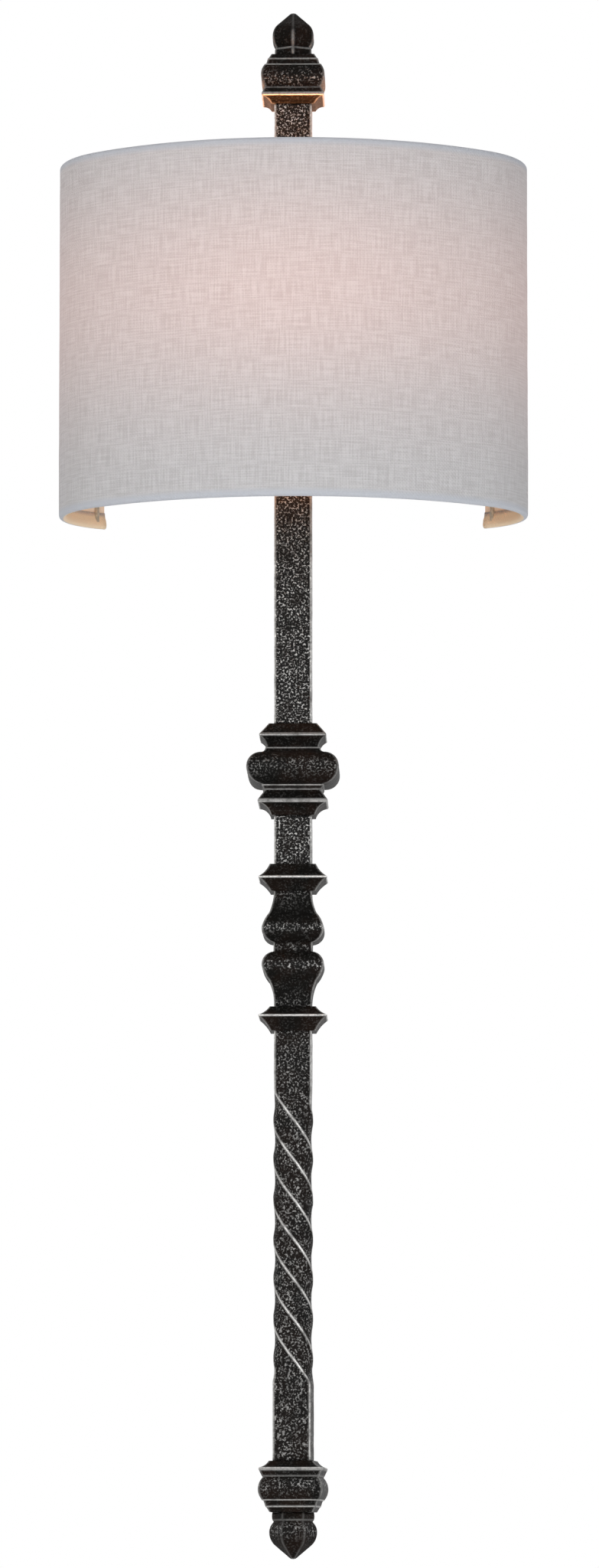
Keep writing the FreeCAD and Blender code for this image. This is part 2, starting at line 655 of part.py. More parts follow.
def bulb_glass(x):
    """The torpedo envelope, open where it is cemented into the cap, with a round tip."""
    low = CAP_TOP
    centre = GLASS_TOP - TIP_R

    def tip(radius, degrees):
        angle = math.radians(degrees)
        return radius * math.cos(angle), centre + radius * math.sin(angle)

    inner_tip = TIP_R - GLASS_WALL
    half_way = (90 + TIP_START) / 2
    outline = [(NECK_R, low), (12.6, -11.5, GLASS_R, 6.0), (14.0, 31.0, *tip(TIP_R, TIP_START)),
               (*tip(TIP_R, half_way), 0.0, GLASS_TOP), (0.0, GLASS_TOP - GLASS_WALL),
               (*tip(inner_tip, half_way), *tip(inner_tip, TIP_START)),
               (13.3, 31.0, GLASS_R - GLASS_WALL, 6.0), (11.9, -11.5, NECK_R - GLASS_WALL, low)]
    return turned(outline, x, LAMP_Y)


def bulb_filament(x):
    """The pressed stem with two support wires and the filament between them."""
    low = CAP_TOP
    stem = turned([(0.0, low), (4.5, low), (2.2, low + 9, 2.0, low + 16), (0.0, low + 16)], x, LAMP_Y)
    top = FILAMENT_Z
    reach = FILAMENT_HALF_SPAN
    parts = []
    for side in SIDES.values():
        parts.append(rod(SUPPORT_R, (x + side * 1.2, LAMP_Y, low + 15), (x + side * reach, LAMP_Y, top)))
    bow = Part.Arc(V(x - reach, LAMP_Y, top), V(x, LAMP_Y, top + 4), V(x + reach, LAMP_Y, top)).toShape()
    ring = Part.Wire(Part.makeCircle(FILAMENT_R, V(x - reach, LAMP_Y, top), bow.tangentAt(bow.FirstParameter)))
    parts.append(Part.Wire(bow).makePipeShell([ring], True, True))
    return stem.fuse(parts)


# --- The shade ---
def plan_point(x, y, radius, degrees, z):
    angle = math.radians(degrees)
    return V(x + radius * math.cos(angle), y + radius * math.sin(angle), z)


def plan_edges(inset, z):
    """The open plan curve of the shade, from its left end round the front to its right end."""
    centre_y = SHADE_FRONT_Y + SHADE_FRONT_R
    side_x = HALF_SHADE - SHADE_SIDE_R
    back_x = HALF_SHADE - SHADE_BACK_R
    end = math.degrees(math.asin((SHADE_END_Y - SHADE_WIDEST_Y) / SHADE_BACK_R))
    join = math.degrees(math.atan2(SHADE_WIDEST_Y - centre_y, side_x))
    arcs = [(-back_x, SHADE_WIDEST_Y, SHADE_BACK_R, 180 - end, 180),
            (-side_x, SHADE_WIDEST_Y, SHADE_SIDE_R, 180, 180 - join),
            (0, centre_y, SHADE_FRONT_R, 180 - join, 360 + join),
            (side_x, SHADE_WIDEST_Y, SHADE_SIDE_R, join, 0),
            (back_x, SHADE_WIDEST_Y, SHADE_BACK_R, 0, end)]
    edges = []
    for x, y, radius, start, stop in arcs:
        points = [plan_point(x, y, radius - inset, angle, z) for angle in (start, (start + stop) / 2, stop)]
        edges.append(Part.Arc(*points).toShape())
    return edges


def plan_shell(outer, inner, low, high):
    """An upright wall between two insets of the plan curve."""
    outside = plan_edges(outer, low)
    inside = plan_edges(inner, low)
    ends = [Part.makeLine(outside[i].Vertexes[-1 if i else 0].Point, inside[i].Vertexes[-1 if i else 0].Point)
            for i in (0, -1)]
    wire = Part.Wire(Part.__sortEdges__(outside + inside + ends))
    return Part.Face(wire).extrude(V(0, 0, high - low))


def plan_pipe(radius, z):
    """A round wire along the plan curve, at the hem's depth."""
    path = Part.Wire(plan_edges(HEM_R, z))
    first = path.Edges[0]
    section = Part.Wire(Part.makeCircle(radius, first.valueAt(first.FirstParameter),
                                        first.tangentAt(first.FirstParameter)))
    return path.makePipeShell([section], True, True)


def hem_heights():
    return (SHADE_BOTTOM + HEM_R, SHADE_TOP - HEM_R)


def stay_centre(side):
    back_x = HALF_SHADE - SHADE_BACK_R
    depth = CLOTH_THICKNESS + LINING_GAP + LINING_THICKNESS + 0.05 + STAY_R
    point = plan_point(back_x, SHADE_WIDEST_Y, SHADE_BACK_R - depth, STAY_ANGLE, 0)
    return side * point.x, point.y


def shade_stay(side, radius):
    x, y = stay_centre(side)
    low, high = hem_heights()
    return rod(radius, (x, y, low + WIRE_R), (x, y, high - WIRE_R))


def shade_cover():
    """Stretched linen, its two long edges rolled round the frame wires."""
    cover = plan_shell(0, CLOTH_THICKNESS, *hem_heights())
    cover = cover.fuse([plan_pipe(HEM_R, z) for z in hem_heights()])
    for z in hem_heights():
        cover = cover.cut(plan_pipe(WIRE_R + 0.05, z))
    for side in SIDES.values():
        cover = cover.cut(shade_stay(side, STAY_R + 0.05))
    return cover


def shade_lining():
    low, high = hem_heights()
    outer = CLOTH_THICKNESS + LINING_GAP
    return plan_shell(outer, outer + LINING_THICKNESS, low + HEM_R + 0.1, high - HEM_R - 0.1)


def shade_bottom_ring():
    return plan_pipe(WIRE_R, hem_heights()[0])


def shade_top_ring():
    return plan_pipe(WIRE_R, hem_heights()[1])


def shade_stays():
    """The upright frame wires near the two ends."""
    return Part.makeCompound([shade_stay(side, STAY_R) for side in SIDES.values()])


def shade_hooks():
    """Bent plates on the stays. A slot open at the bottom drops over each thumb screw."""
    return Part.makeCompound([shade_hook(side) for side in SIDES.values()])


def shade_hook(side):
    stay_x, stay_y = stay_centre(side)
    inner = ARM_REACH + HOOK_GAP
    low, high = ARM_Z - HOOK_DROP, ARM_Z + HOOK_RISE
    web_low = ARM_Z + THUMB_HEAD_R + 1
    cheek_x = sorted((side * inner, side * (inner + HOOK_THICKNESS)))
    cheek = block(cheek_x, (THUMB_Y - HOOK_HALF_WIDTH, stay_y), (low, high))
    web_x = sorted((side * inner, side * (abs(stay_x) - STAY_R)))
    web = block(web_x, (stay_y - HOOK_THICKNESS / 2, stay_y + HOOK_THICKNESS / 2), (web_low, high))
    behind = block(cheek_x, (THUMB_Y + HOOK_HALF_WIDTH, stay_y + 1), (low - 1, web_low))
    loop = rod(STAY_R + 1.0, (stay_x, stay_y, web_low), (stay_x, stay_y, high))
    hook = cheek.cut(behind).fuse([web, loop]).removeSplitter()
    slot = THUMB_R + HOOK_SLOT_CLEARANCE
    hook = hook.cut(block(cheek_x, (THUMB_Y - slot, THUMB_Y + slot), (low - 1, ARM_Z + slot)))
    hook = hook.cut(rod(STAY_R + THREAD_ROOM, (stay_x, stay_y, low - 5), (stay_x, stay_y, high + 5)))
    lining_face = CLOTH_THICKNESS + LINING_GAP + LINING_THICKNESS
    return hook.cut(plan_shell(-1, lining_face + LINING_GAP, low - 1, high + 1))


# --- The shade arm and its screws ---
def shade_arm():
    """A strap across the back of the bar. Its ends turn towards the wall and take the thumb screws."""
    low, high = ARM_Z - ARM_HEIGHT / 2, ARM_Z + ARM_HEIGHT / 2
    arm = block((-ARM_REACH, ARM_REACH), (BAR_BACK_Y, BAR_BACK_Y + ARM_THICKNESS), (low, high))
    for side in SIDES.values():
        flange_x = sorted((side * (ARM_REACH - ARM_THICKNESS), side * ARM_REACH))
        arm = arm.fuse(block(flange_x, (BAR_BACK_Y, ARM_FLANGE_END_Y), (low, high)))
    arm = arm.removeSplitter()
    corners = [edge for edge in arm.Edges
               if abs(edge.CenterOfMass.y - BAR_BACK_Y) < 0.01 and abs(edge.CenterOfMass.x) > ARM_REACH - 0.01]
    arm = arm.makeFillet(ARM_THICKNESS, corners)
    reach = ARM_REACH + 1
    arm = arm.cut(rod(THUMB_R + STUD_CLEARANCE, (-reach, THUMB_Y, ARM_Z), (reach, THUMB_Y, ARM_Z)))
    for z in arm_screw_heights():
        arm = arm.cut(rod(SET_SCREW_R + 0.1, (0, BAR_BACK_Y - 1, z), (0, BAR_BACK_Y + 5, z)))
    return arm


def arm_screw_heights():
    return (ARM_Z - ARM_SCREW_SPACING / 2, ARM_Z + ARM_SCREW_SPACING / 2)


def shade_arm_screws():
    """Two round-headed screws into the back of the bar."""
    face = BAR_BACK_Y + ARM_THICKNESS
    crown = face + ARM_SCREW_HEAD_HEIGHT
    screws = []
    for z in arm_screw_heights():
        shank = rod(SET_SCREW_R, (0, BAR_BACK_Y - ARM_SCREW_GRIP, z), (0, face, z))
        head = rod(ARM_SCREW_HEAD_R, (0, face, z), (0, crown, z))
        head = head.makeFillet(ARM_SCREW_HEAD_HEIGHT / 2,
                               [edge for edge in head.Edges if edge.BoundBox.YMin > crown - 0.1])
        slot = block((-0.5, 0.5), (face + 1.4, face + 5), (z - 4, z + 4))
        screws.append(shank.fuse(head).cut(slot))
    return Part.makeCompound(screws)


def thumb_screw(side):
    """A knurled screw that clamps a shade hook against the arm."""
    tip = side * (ARM_REACH - ARM_THICKNESS - 1)
    shoulder = side * (ARM_REACH + 2 * HOOK_GAP + HOOK_THICKNESS)
    end = shoulder + side * THUMB_HEAD_LENGTH
    shank = rod(THUMB_R, (tip, THUMB_Y, ARM_Z), (shoulder + side, THUMB_Y, ARM_Z))
    head = rod(THUMB_HEAD_R, (shoulder, THUMB_Y, ARM_Z), (end, THUMB_Y, ARM_Z))
    for i in range(THUMB_KNURLS):
        angle = 2 * math.pi * i / THUMB_KNURLS
        y = THUMB_Y + (THUMB_HEAD_R + KNURL_OFFSET) * math.cos(angle)
        z = ARM_Z + (THUMB_HEAD_R + KNURL_OFFSET) * math.sin(angle)
        head = head.cut(rod(KNURL_R, (shoulder - side, y, z), (end + side, y, z)))
    return shank.fuse(head)


# --- The lower wall spacer ---
def wall_spacer():
    """A turned post that keeps the foot of the bar off the wall. Its front end is cut to the foot's face."""
    length = -PAD_THICKNESS - BAR_BACK_Y
    bore = SET_SCREW_R + 0.1
    outline = [(bore, -1.0), (POST_R, -1.0), (POST_R, length - POST_RIM - 2.0), (PAD_R, length - POST_RIM),
               (PAD_R, length), (bore, length)]
    post = turned(outline, 0, 0)
    post.rotate(V(0, 0, 0), V(1, 0, 0), -90)
    post.translate(V(0, BAR_BACK_Y, SPACER_Z))
    post = post.cut(foot_bar())
    sink = rod(SPACER_SCREW_HEAD_R + 0.4, (0, -PAD_THICKNESS - SPACER_SCREW_SUNK, SPACER_Z), (0, 1, SPACER_Z))
    return post.cut(sink)


def spacer_screw():
    """The long screw through the post into the bar, its head sunk in the post."""
    head_y = -PAD_THICKNESS - SPACER_SCREW_SUNK
    shank = rod(SET_SCREW_R, (0, BAR_BACK_Y - SPACER_SCREW_GRIP, SPACER_Z), (0, head_y, SPACER_Z))
    head = rod(SPACER_SCREW_HEAD_R, (0, head_y, SPACER_Z), (0, head_y + SPACER_SCREW_HEAD_HEIGHT, SPACER_Z))
    return shank.fuse(head)


def spacer_pad():
    return rod(PAD_R, (0, -PAD_THICKNESS, SPACER_Z), (0, 0, SPACER_Z))


# --- Parts list ---
def build():
    """Every node, by name."""
    parts = {
        "upper_finial": finial(COLUMN_TOP + END_KNOP_HEIGHT + FINIAL_GAP, True),
        "upper_knop": upper_knop(),
        "upper_bar": upper_bar(),
        "big_knop": big_knop(),
        "middle_bar": middle_bar(),
        "upper_collar": upper_collar(),
        "double_knuckle": double_knuckle(),
        "lower_collar": lower_collar(),
        "twisted_bar": twisted_bar(),
        "lower_knop": lower_knop(),
        "lower_finial": finial(COLUMN_BOTTOM - END_KNOP_HEIGHT - FINIAL_GAP, False),
        "end_studs": end_studs(),
        "big_knop_stud": big_knop_stud(),
        "joint_studs": joint_studs(),
        "collar_set_screws": collar_set_screws(),
        "crossbar": crossbar(),
        "ground_screw": ground_screw(),
        "canopy_studs": canopy_studs(),
        "canopy": canopy(),
        "arm_pipe": arm_pipe(),
        "arm_spacer": arm_spacer(),
        "arm_lock_nuts": arm_lock_nuts(),
        "socket_bracket": socket_bracket(),
        "socket_nipples": socket_nipples(),
        "socket_nuts": socket_nuts(),
        "shade_cover": shade_cover(),
        "shade_lining": shade_lining(),
        "shade_bottom_ring": shade_bottom_ring(),
        "shade_top_ring": shade_top_ring(),
        "shade_stays": shade_stays(),
        "shade_hooks": shade_hooks(),
        "shade_arm": shade_arm(),
        "shade_arm_screws": shade_arm_screws(),
        "wall_spacer": wall_spacer(),
        "spacer_screw": spacer_screw(),
        "spacer_pad": spacer_pad(),
    }
    for name, side in SIDES.items():
        x = side * LAMP_X
        parts["cap_nut_" + name] = cap_nut(side)
        parts["thumb_screw_" + name] = thumb_screw(side)
        parts["lampholder_" + name] = lampholder(x)
        parts["screw_shell_" + name] = screw_shell(x)
        parts["centre_contact_" + name] = centre_contact(x)
        parts["candle_sleeve_" + name] = candle_sleeve(x)
        parts["bulb_cap_" + name] = bulb_cap(x)
        parts["bulb_glass_" + name] = bulb_glass(x)
        parts["bulb_filament_" + name] = bulb_filament(x)
    return parts


os.makedirs("parts", exist_ok=True)
for node, shape in build().items():
    shape.exportStep("parts/" + node + ".step")
    print(node, "valid" if shape.isValid() else "INVALID", len(shape.Solids), "solids", round(shape.Volume, 1))
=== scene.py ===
import json
import math

import bpy
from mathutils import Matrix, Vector, noise


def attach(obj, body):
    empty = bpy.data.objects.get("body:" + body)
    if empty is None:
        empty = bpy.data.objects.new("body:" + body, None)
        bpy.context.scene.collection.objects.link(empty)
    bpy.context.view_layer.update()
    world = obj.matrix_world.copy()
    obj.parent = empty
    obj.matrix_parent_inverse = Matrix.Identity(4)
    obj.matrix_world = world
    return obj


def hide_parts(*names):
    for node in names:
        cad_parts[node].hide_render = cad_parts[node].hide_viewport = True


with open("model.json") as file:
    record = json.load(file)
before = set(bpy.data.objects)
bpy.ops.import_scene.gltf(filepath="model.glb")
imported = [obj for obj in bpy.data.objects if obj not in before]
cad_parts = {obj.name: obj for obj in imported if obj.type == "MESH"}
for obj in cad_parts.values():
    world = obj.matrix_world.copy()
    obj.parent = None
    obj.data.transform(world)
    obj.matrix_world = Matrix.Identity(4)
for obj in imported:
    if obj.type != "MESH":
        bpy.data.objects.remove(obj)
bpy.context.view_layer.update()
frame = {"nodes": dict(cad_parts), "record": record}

MM = 0.001
NODES = frame["nodes"]

# --- Sizes of the iron column, in millimetres and degrees, as the construction has them ---
BAR_Y = -50.0
HALF_BAR = 10.3
COLUMN_TOP = 138.7
COLUMN_BOTTOM = -603.2
BIG_KNOP_TOP = -204.2
BIG_KNOP_HEIGHT = 49.9
UPPER_COLLAR_TOP = -280.9
UPPER_COLLAR = (7.45, 7.15)  # heights of the cove above the ridge and of the bevel below it
LOWER_COLLAR_TOP = -358.4
LOWER_COLLAR = (5.1, 8.0)
COLLAR_RIDGE = 18.7
COLLAR_LIP = 0.25           # half the height of the ridge's flat face
COLLAR_HOLLOW = 0.46        # share of its height at which a cove or bevel is most hollow
END_KNOP_HEIGHT = 27.5
FOOT_TURN = 4.5             # how far the foot of the bar is short of square
FINIAL_HEIGHT = 25.1
FINIAL_GAP = 0.1
LOWER_FINIAL_TURN = 30.0    # a face to the front, where the upper finial has an edge
BULB_END = 30.0             # height from the waist at which a bulb runs into the bar
TWIST_TOP = -403.2
TWIST_LENGTH = 159.7
TWIST_EASE = 10.0
TWIST_TURNS = 1.75 - FOOT_TURN / 360
TWIST_RIDGE_R = 11.0
TWIST_FACE_R = 9.9

# --- Sizes of the shade, in millimetres ---
SHADE_WIDTH = 257.0
SHADE_DEPTH = 125.0
SHADE_TOP = 105.7
SHADE_BOTTOM = -89.8
SHADE_END_Y = -8.0
SHADE_FRONT_R = 165.0
SHADE_BACK_R = 46.0
SHADE_WIDEST = 85.5
CLOTH = 0.7
HEM_R = 2.05
HEM_TURN_IN = 7.0           # cloth turned in behind the frame wire
HEM_BAND = 4.6              # height of the band where the cloth lies double over the wire
HEM_EDGE = 2.1              # inset of the turned-in edge
HEM_MIDDLE = (2.6, 0.6)     # inset halfway in, and the share of the turn-in at which it lies
HEM_SWELL = (3.6, 2.4)      # inset next to the wire, and its height from the wire's middle
END_HEM = 5.6
INNER_INSET = 1.2           # wire radii of inset from which the cloth counts as turned in
THREAD_PITCH = 0.95
RIPPLE = 0.10               # how far the stretched cloth is out of true
RIPPLE_SIZE = 14.0
RIPPLE_SLICE = 3.0

# --- The lamps, in millimetres ---
LAMP_SIDES = {"left": -1, "right": 1}
LAMP_X = 45.0
LAMP_Y = -76.0
LAMP_GLOW_Z = 10.0

# --- Worked out ---
BIG_KNOP_BOTTOM = BIG_KNOP_TOP - BIG_KNOP_HEIGHT
UPPER_JOINT = UPPER_COLLAR_TOP - UPPER_COLLAR[0]
LOWER_JOINT = LOWER_COLLAR_TOP - LOWER_COLLAR[0]
HALF_SHADE = SHADE_WIDTH / 2
SHADE_FRONT_Y = SHADE_END_Y - SHADE_DEPTH
SHADE_WIDEST_Y = SHADE_FRONT_Y + SHADE_WIDEST
SHADE_SIDE_R = ((2 * SHADE_FRONT_R * SHADE_WIDEST - SHADE_WIDEST ** 2 - HALF_SHADE ** 2)
                / (2 * (SHADE_FRONT_R - HALF_SHADE)))


# --- Camera, lights and stage, in metres and watts ---
CAMERA_DISTANCE = 3.9615
CAMERA_ELEVATION = math.radians(-6.4)
CAMERA_AZIMUTH = math.radians(1.0)
CAMERA_AIM = Vector((0.0034, BAR_Y * MM, -0.236))
LENS = 167.0
SENSOR = 36.0
CLIP_END = 50.0

# name, place, aim, size, power, colour
STUDIO_LIGHTS = [
    ("key_left", (-1.55, -2.1, 0.9), (0, 0, -0.2), (1.2, 2.4), 28, (1.0, 0.985, 0.97)),
    ("fill_right", (1.5, -2.1, -0.4), (0, 0, -0.25), (1.1, 2.4), 25, (0.98, 0.99, 1.0)),
    ("low_front", (-0.4, -1.9, -2.0), (0, 0, -0.2), (1.4, 0.9), 14, (1.0, 1.0, 1.0)),
]
# name, place in millimetres, aim in millimetres, size, power
ESCAPING_LIGHTS = [
    ("glow_up", (0.0, -65.0, 40.0), (0.0, -65.0, 90.0), (0.05, 0.007), 0.32),
    ("glow_wall", (0.0, -3.0, 138.0), (0.0, -50.0, 138.0), (0.10, 0.05), 0.035),
    ("glow_down", (0.0, -65.0, -70.0), (0.0, -65.0, -90.0), (0.05, 0.007), 0.010),
]
ESCAPING_COLOUR = (1.0, 0.38, 0.13)
LAMP_POWER = 0.3
LAMP_COLOUR = (1.0, 0.54, 0.26)
LAMP_RADIUS = 0.016

WORLD_SPAN = (-0.85, 0.25)      # Y of the directions between which the light grows
WORLD_STRENGTH = (0.16, 0.62)   # towards the viewer, and at the sides and back
FLOOR_Z = -2.3
FLOOR_REACH = 4.0
FLOOR_COLOUR = (0.93, 0.93, 0.93, 1)
FLOOR_ROUGHNESS = 0.9
FLOOR_SEEN = 0.94               # brightness of the floor where it shows


def make_camera():
    """A long lens, just below the middle of the column and looking slightly up."""
    data = bpy.data.cameras.new("camera")
    data.lens = LENS
    data.sensor_width = SENSOR
    data.clip_end = CLIP_END
    camera = bpy.data.objects.new("camera", data)
    bpy.context.scene.collection.objects.link(camera)
    back = Vector((math.sin(CAMERA_AZIMUTH) * math.cos(CAMERA_ELEVATION),
                   -math.cos(CAMERA_AZIMUTH) * math.cos(CAMERA_ELEVATION),
                   math.sin(CAMERA_ELEVATION)))
    camera.location = CAMERA_AIM + CAMERA_DISTANCE * back
    camera.rotation_euler = (-back).to_track_quat("-Z", "Y").to_euler()
    bpy.context.scene.camera = camera


def add_light(name, kind, power, colour, place):
    """Puts a light in the scene and returns it."""
    data = bpy.data.lights.new(name, kind)
    data.energy = power
    data.color = colour
    light = bpy.data.objects.new(name, data)
    bpy.context.scene.collection.objects.link(light)
    light.location = place
    return light


def area_light(name, place, aim, size, power, colour):
    """A rectangle that lights towards its aim."""
    light = add_light(name, "AREA", power, colour, place)
    light.data.shape = "RECTANGLE"
    light.data.size, light.data.size_y = size
    light.rotation_euler = (Vector(aim) - Vector(place)).to_track_quat("-Z", "Y").to_euler()
    return light


def escaping_light(name, place, aim, size, power):
    """Lamplight on its way out of the shade. place and aim are in millimetres."""
    light = area_light(name, Vector(place) * MM, Vector(aim) * MM, size, power, ESCAPING_COLOUR)
    light.visible_camera = False


def lamp_light(name, x):
    """The warm light of one lamp, at the middle of its glass."""
    place = (x * MM, LAMP_Y * MM, LAMP_GLOW_Z * MM)
    light = add_light(name, "POINT", LAMP_POWER, LAMP_COLOUR, place)
    light.data.shadow_soft_size = LAMP_RADIUS


def make_lights():
    for light in STUDIO_LIGHTS:
        area_light(*light)
    for light in ESCAPING_LIGHTS:
        escaping_light(*light)


def seen_share(tree):
    """1 on the rays that show a background: seen straight, in a reflection or through glass."""
    path = tree.nodes.new("ShaderNodeLightPath")
    share = path.outputs["Is Camera Ray"]
    for ray in ("Is Glossy Ray", "Is Transmission Ray"):
        either = tree.nodes.new("ShaderNodeMath")
        either.operation = "MAXIMUM"
        tree.links.new(share, either.inputs[0])
        tree.links.new(path.outputs[ray], either.inputs[1])
        share = either.outputs[0]
    return share


def make_world():
    """White where it shows. Its light is pale from the sides and back and darker from the front."""
    world = bpy.data.worlds.new("studio")
    bpy.context.scene.world = world
    world.use_nodes = True
    tree = world.node_tree
    tree.nodes.clear()
    new = tree.nodes.new
    output = new("ShaderNodeOutputWorld")
    mix = new("ShaderNodeMixShader")
    seen = new("ShaderNodeBackground")
    lit = new("ShaderNodeBackground")
    coord = new("ShaderNodeTexCoord")
    split = new("ShaderNodeSeparateXYZ")
    ramp = new("ShaderNodeMapRange")
    seen.inputs["Color"].default_value = (1, 1, 1, 1)
    seen.inputs["Strength"].default_value = 1.0
    ramp.inputs["From Min"].default_value, ramp.inputs["From Max"].default_value = WORLD_SPAN
    ramp.inputs["To Min"].default_value, ramp.inputs["To Max"].default_value = WORLD_STRENGTH
    tree.links.new(coord.outputs["Generated"], split.inputs[0])
    tree.links.new(split.outputs["Y"], ramp.inputs["Value"])
    tree.links.new(ramp.outputs["Result"], lit.inputs["Strength"])
    tree.links.new(seen_share(tree), mix.inputs["Fac"])
    tree.links.new(lit.outputs[0], mix.inputs[1])
    tree.links.new(seen.outputs[0], mix.inputs[2])
    tree.links.new(mix.outputs[0], output.inputs[0])


def make_floor():
    """A plain pale floor, well below a light that hangs on a wall. It is clear from underneath."""
    corners = [(x * FLOOR_REACH, y * FLOOR_REACH, FLOOR_Z)
               for x, y in ((-1, -1), (1, -1), (1, 1), (-1, 1))]
    mesh = bpy.data.meshes.new("floor")
    mesh.from_pydata(corners, [], [(0, 1, 2, 3)])
    floor = bpy.data.objects.new("floor", mesh)
    bpy.context.scene.collection.objects.link(floor)
    material = bpy.data.materials.new("floor_white")
    material.use_nodes = True
    tree = material.node_tree
    main = tree.nodes["Principled BSDF"]
    main.inputs["Base Color"].default_value = FLOOR_COLOUR
    main.inputs["Roughness"].default_value = FLOOR_ROUGHNESS
    white = tree.nodes.new("ShaderNodeEmission")
    clear = tree.nodes.new("ShaderNodeBsdfTransparent")
    above = tree.nodes.new("ShaderNodeMixShader")
    either_side = tree.nodes.new("ShaderNodeMixShader")
    under = tree.nodes.new("ShaderNodeNewGeometry").outputs["Backfacing"]
    white.inputs["Strength"].default_value = FLOOR_SEEN
    tree.links.new(seen_share(tree), above.inputs["Fac"])
    tree.links.new(main.outputs[0], above.inputs[1])
    tree.links.new(white.outputs[0], above.inputs[2])
    tree.links.new(under, either_side.inputs["Fac"])
    tree.links.new(above.outputs[0], either_side.inputs[1])
    tree.links.new(clear.outputs[0], either_side.inputs[2])
    tree.links.new(either_side.outputs[0], tree.nodes["Material Output"].inputs["Surface"])
    mesh.materials.append(material)


# --- Node helpers for materials ---
class Shader:
    """A material with one main shader and short ways to add the nodes that drive it."""

    def __init__(self, name):
        self.material = bpy.data.materials.new(name)
        self.material.use_nodes = True
        self.tree = self.material.node_tree
        self.main = self.tree.nodes["Principled BSDF"]
        self.coord = self.tree.nodes.new("ShaderNodeTexCoord").outputs["Object"]

    def set(self, name, value):
        self.main.inputs[name].default_value = value

    def link(self, source, target):
        self.tree.links.new(source, target)

    def drive(self, name, source):
        self.link(source, self.main.inputs[name])

    def noise(self, scale, detail=3.0, roughness=0.55):
        node = self.tree.nodes.new("ShaderNodeTexNoise")
        node.inputs["Scale"].default_value = scale
        node.inputs["Detail"].default_value = detail
        node.inputs["Roughness"].default_value = roughness
        self.link(self.coord, node.inputs["Vector"])
        return node.outputs["Fac"]

    def attribute(self, name):
        node = self.tree.nodes.new("ShaderNodeAttribute")
        node.attribute_name = name
        return node.outputs["Fac"]

    def ramp(self, source, low, high, to_low=0.0, to_high=1.0):
        """Goes smoothly from to_low to to_high while source goes from low to high."""
        node = self.tree.nodes.new("ShaderNodeMapRange")
        node.interpolation_type = "SMOOTHSTEP"
        node.inputs["From Min"].default_value = low
        node.inputs["From Max"].default_value = high
        node.inputs["To Min"].default_value = to_low
        node.inputs["To Max"].default_value = to_high
        self.link(source, node.inputs["Value"])
        return node.outputs["Result"]

    def fill(self, socket, value):
        """Gives a socket a number, a colour or another node's output."""
        if isinstance(value, (int, float)):
            socket.default_value = value
        elif isinstance(value, tuple):
            socket.default_value = (*value, 1.0)
        else:
            self.link(value, socket)

    def math(self, operation, *values):
        node = self.tree.nodes.new("ShaderNodeMath")
        node.operation = operation
        for socket, value in zip(node.inputs, values):
            self.fill(socket, value)
        return node.outputs[0]

    def mix(self, factor, first, second):
        """Mixes two colours. These are the factor and colour sockets of the node's colour mode."""
        node = self.tree.nodes.new("ShaderNodeMix")
        node.data_type = "RGBA"
        for index, value in ((0, factor), (6, first), (7, second)):
            self.fill(node.inputs[index], value)
        return node.outputs[2]

    def glow(self, colour, strength):
        self.set("Emission Color", (*colour, 1.0))
        self.set("Emission Strength", strength)

    def bump(self, height, distance, strength):
        node = self.tree.nodes.new("ShaderNodeBump")
        node.inputs["Distance"].default_value = distance
        node.inputs["Strength"].default_value = strength
        self.link(height, node.inputs["Height"])
        self.drive("Normal", node.outputs["Normal"])


# --- Materials ---
SILVER = (0.82, 0.81, 0.79)
IRON_BLACK = (0.0062, 0.0059, 0.0053)
IRON_BROWN = (0.0128, 0.0080, 0.0060)
IRON_GREY = (0.017, 0.017, 0.017)
COARSE_GRAIN = (150.0, 4.0, 0.6)        # scale, detail and roughness of a noise
FINE_GRAIN = (880.0, 3.0, 0.65)
BROAD_GRAIN = (42.0, 3.0, 0.55)
FLECKS = (0.52, 0.62)                   # for these, low, high and to_low, to_high of a ramp
FLECK_PATCHES = (0.34, 0.56, 0.25, 1.0)
RIDGE_PATCHES = (0.30, 0.52, 0.55, 1.0)
RIDGE_FLECKS = (0.30, 0.55, 0.60, 1.0)
BROWN_PATCHES = (0.40, 0.62)
GREY_PATCHES = (0.3, 0.6, 0.6, 1.0)
IRON_ROUGHNESS = (0.0, 1.0, 0.42, 0.36)
IRON_METALLIC = (0.1, 0.8, 0.0, 0.85)
SPECKLE_SHARE = 0.66                    # how silver the speckle gets
SPECKLE_LEAST = 0.06                    # speckle where nothing is rubbed
IRON_SPECULAR = 0.02
COARSE_RELIEF = 0.6                     # shares of the two grains in the relief
FINE_RELIEF = 0.4
IRON_BUMP = (0.0007, 0.6)               # a relief's height in metres and its strength

LINEN_DARK = (0.535, 0.530, 0.540)
LINEN_PALE = (0.665, 0.662, 0.675)
# Painted shade: the doubled hem is coloured cooler and darker for the lamplight it holds back.
LINEN_HEM_PAINTED_SHADE = (0.58, 0.60, 0.65)
# Painted lamplight: the turned-in cloth is coloured peach and given a glow for the lamps' warm
# light on it.
INNER_LINEN_PAINTED_LAMPLIGHT = (0.80, 0.66, 0.48)
THREAD_CONTRAST = (0.36, 0.64)  # thread noise from which linen is dark and up to which pale
THREAD_WOBBLE = 3.0             # how far threads wander, in radians of the weave's wave
WOBBLE_GRAIN = (60.0, 2.0)
SLUB_SCALES = (1300.0, 70.0)    # across a thread and along it
SLUB_DETAIL = 2.0
SLUB_TONE = 0.5                 # shares of slubs and weave in the colour and in the relief
WEAVE_TONE = 0.030
SLUB_RELIEF = 0.8
WEAVE_RELIEF = 0.4
LINEN_BUMP = (0.0004, 0.5)
LINEN_ROUGHNESS = 0.92
LINEN_SPECULAR = 0.25
LINEN_SHEEN = (0.1, 0.5)        # weight and roughness
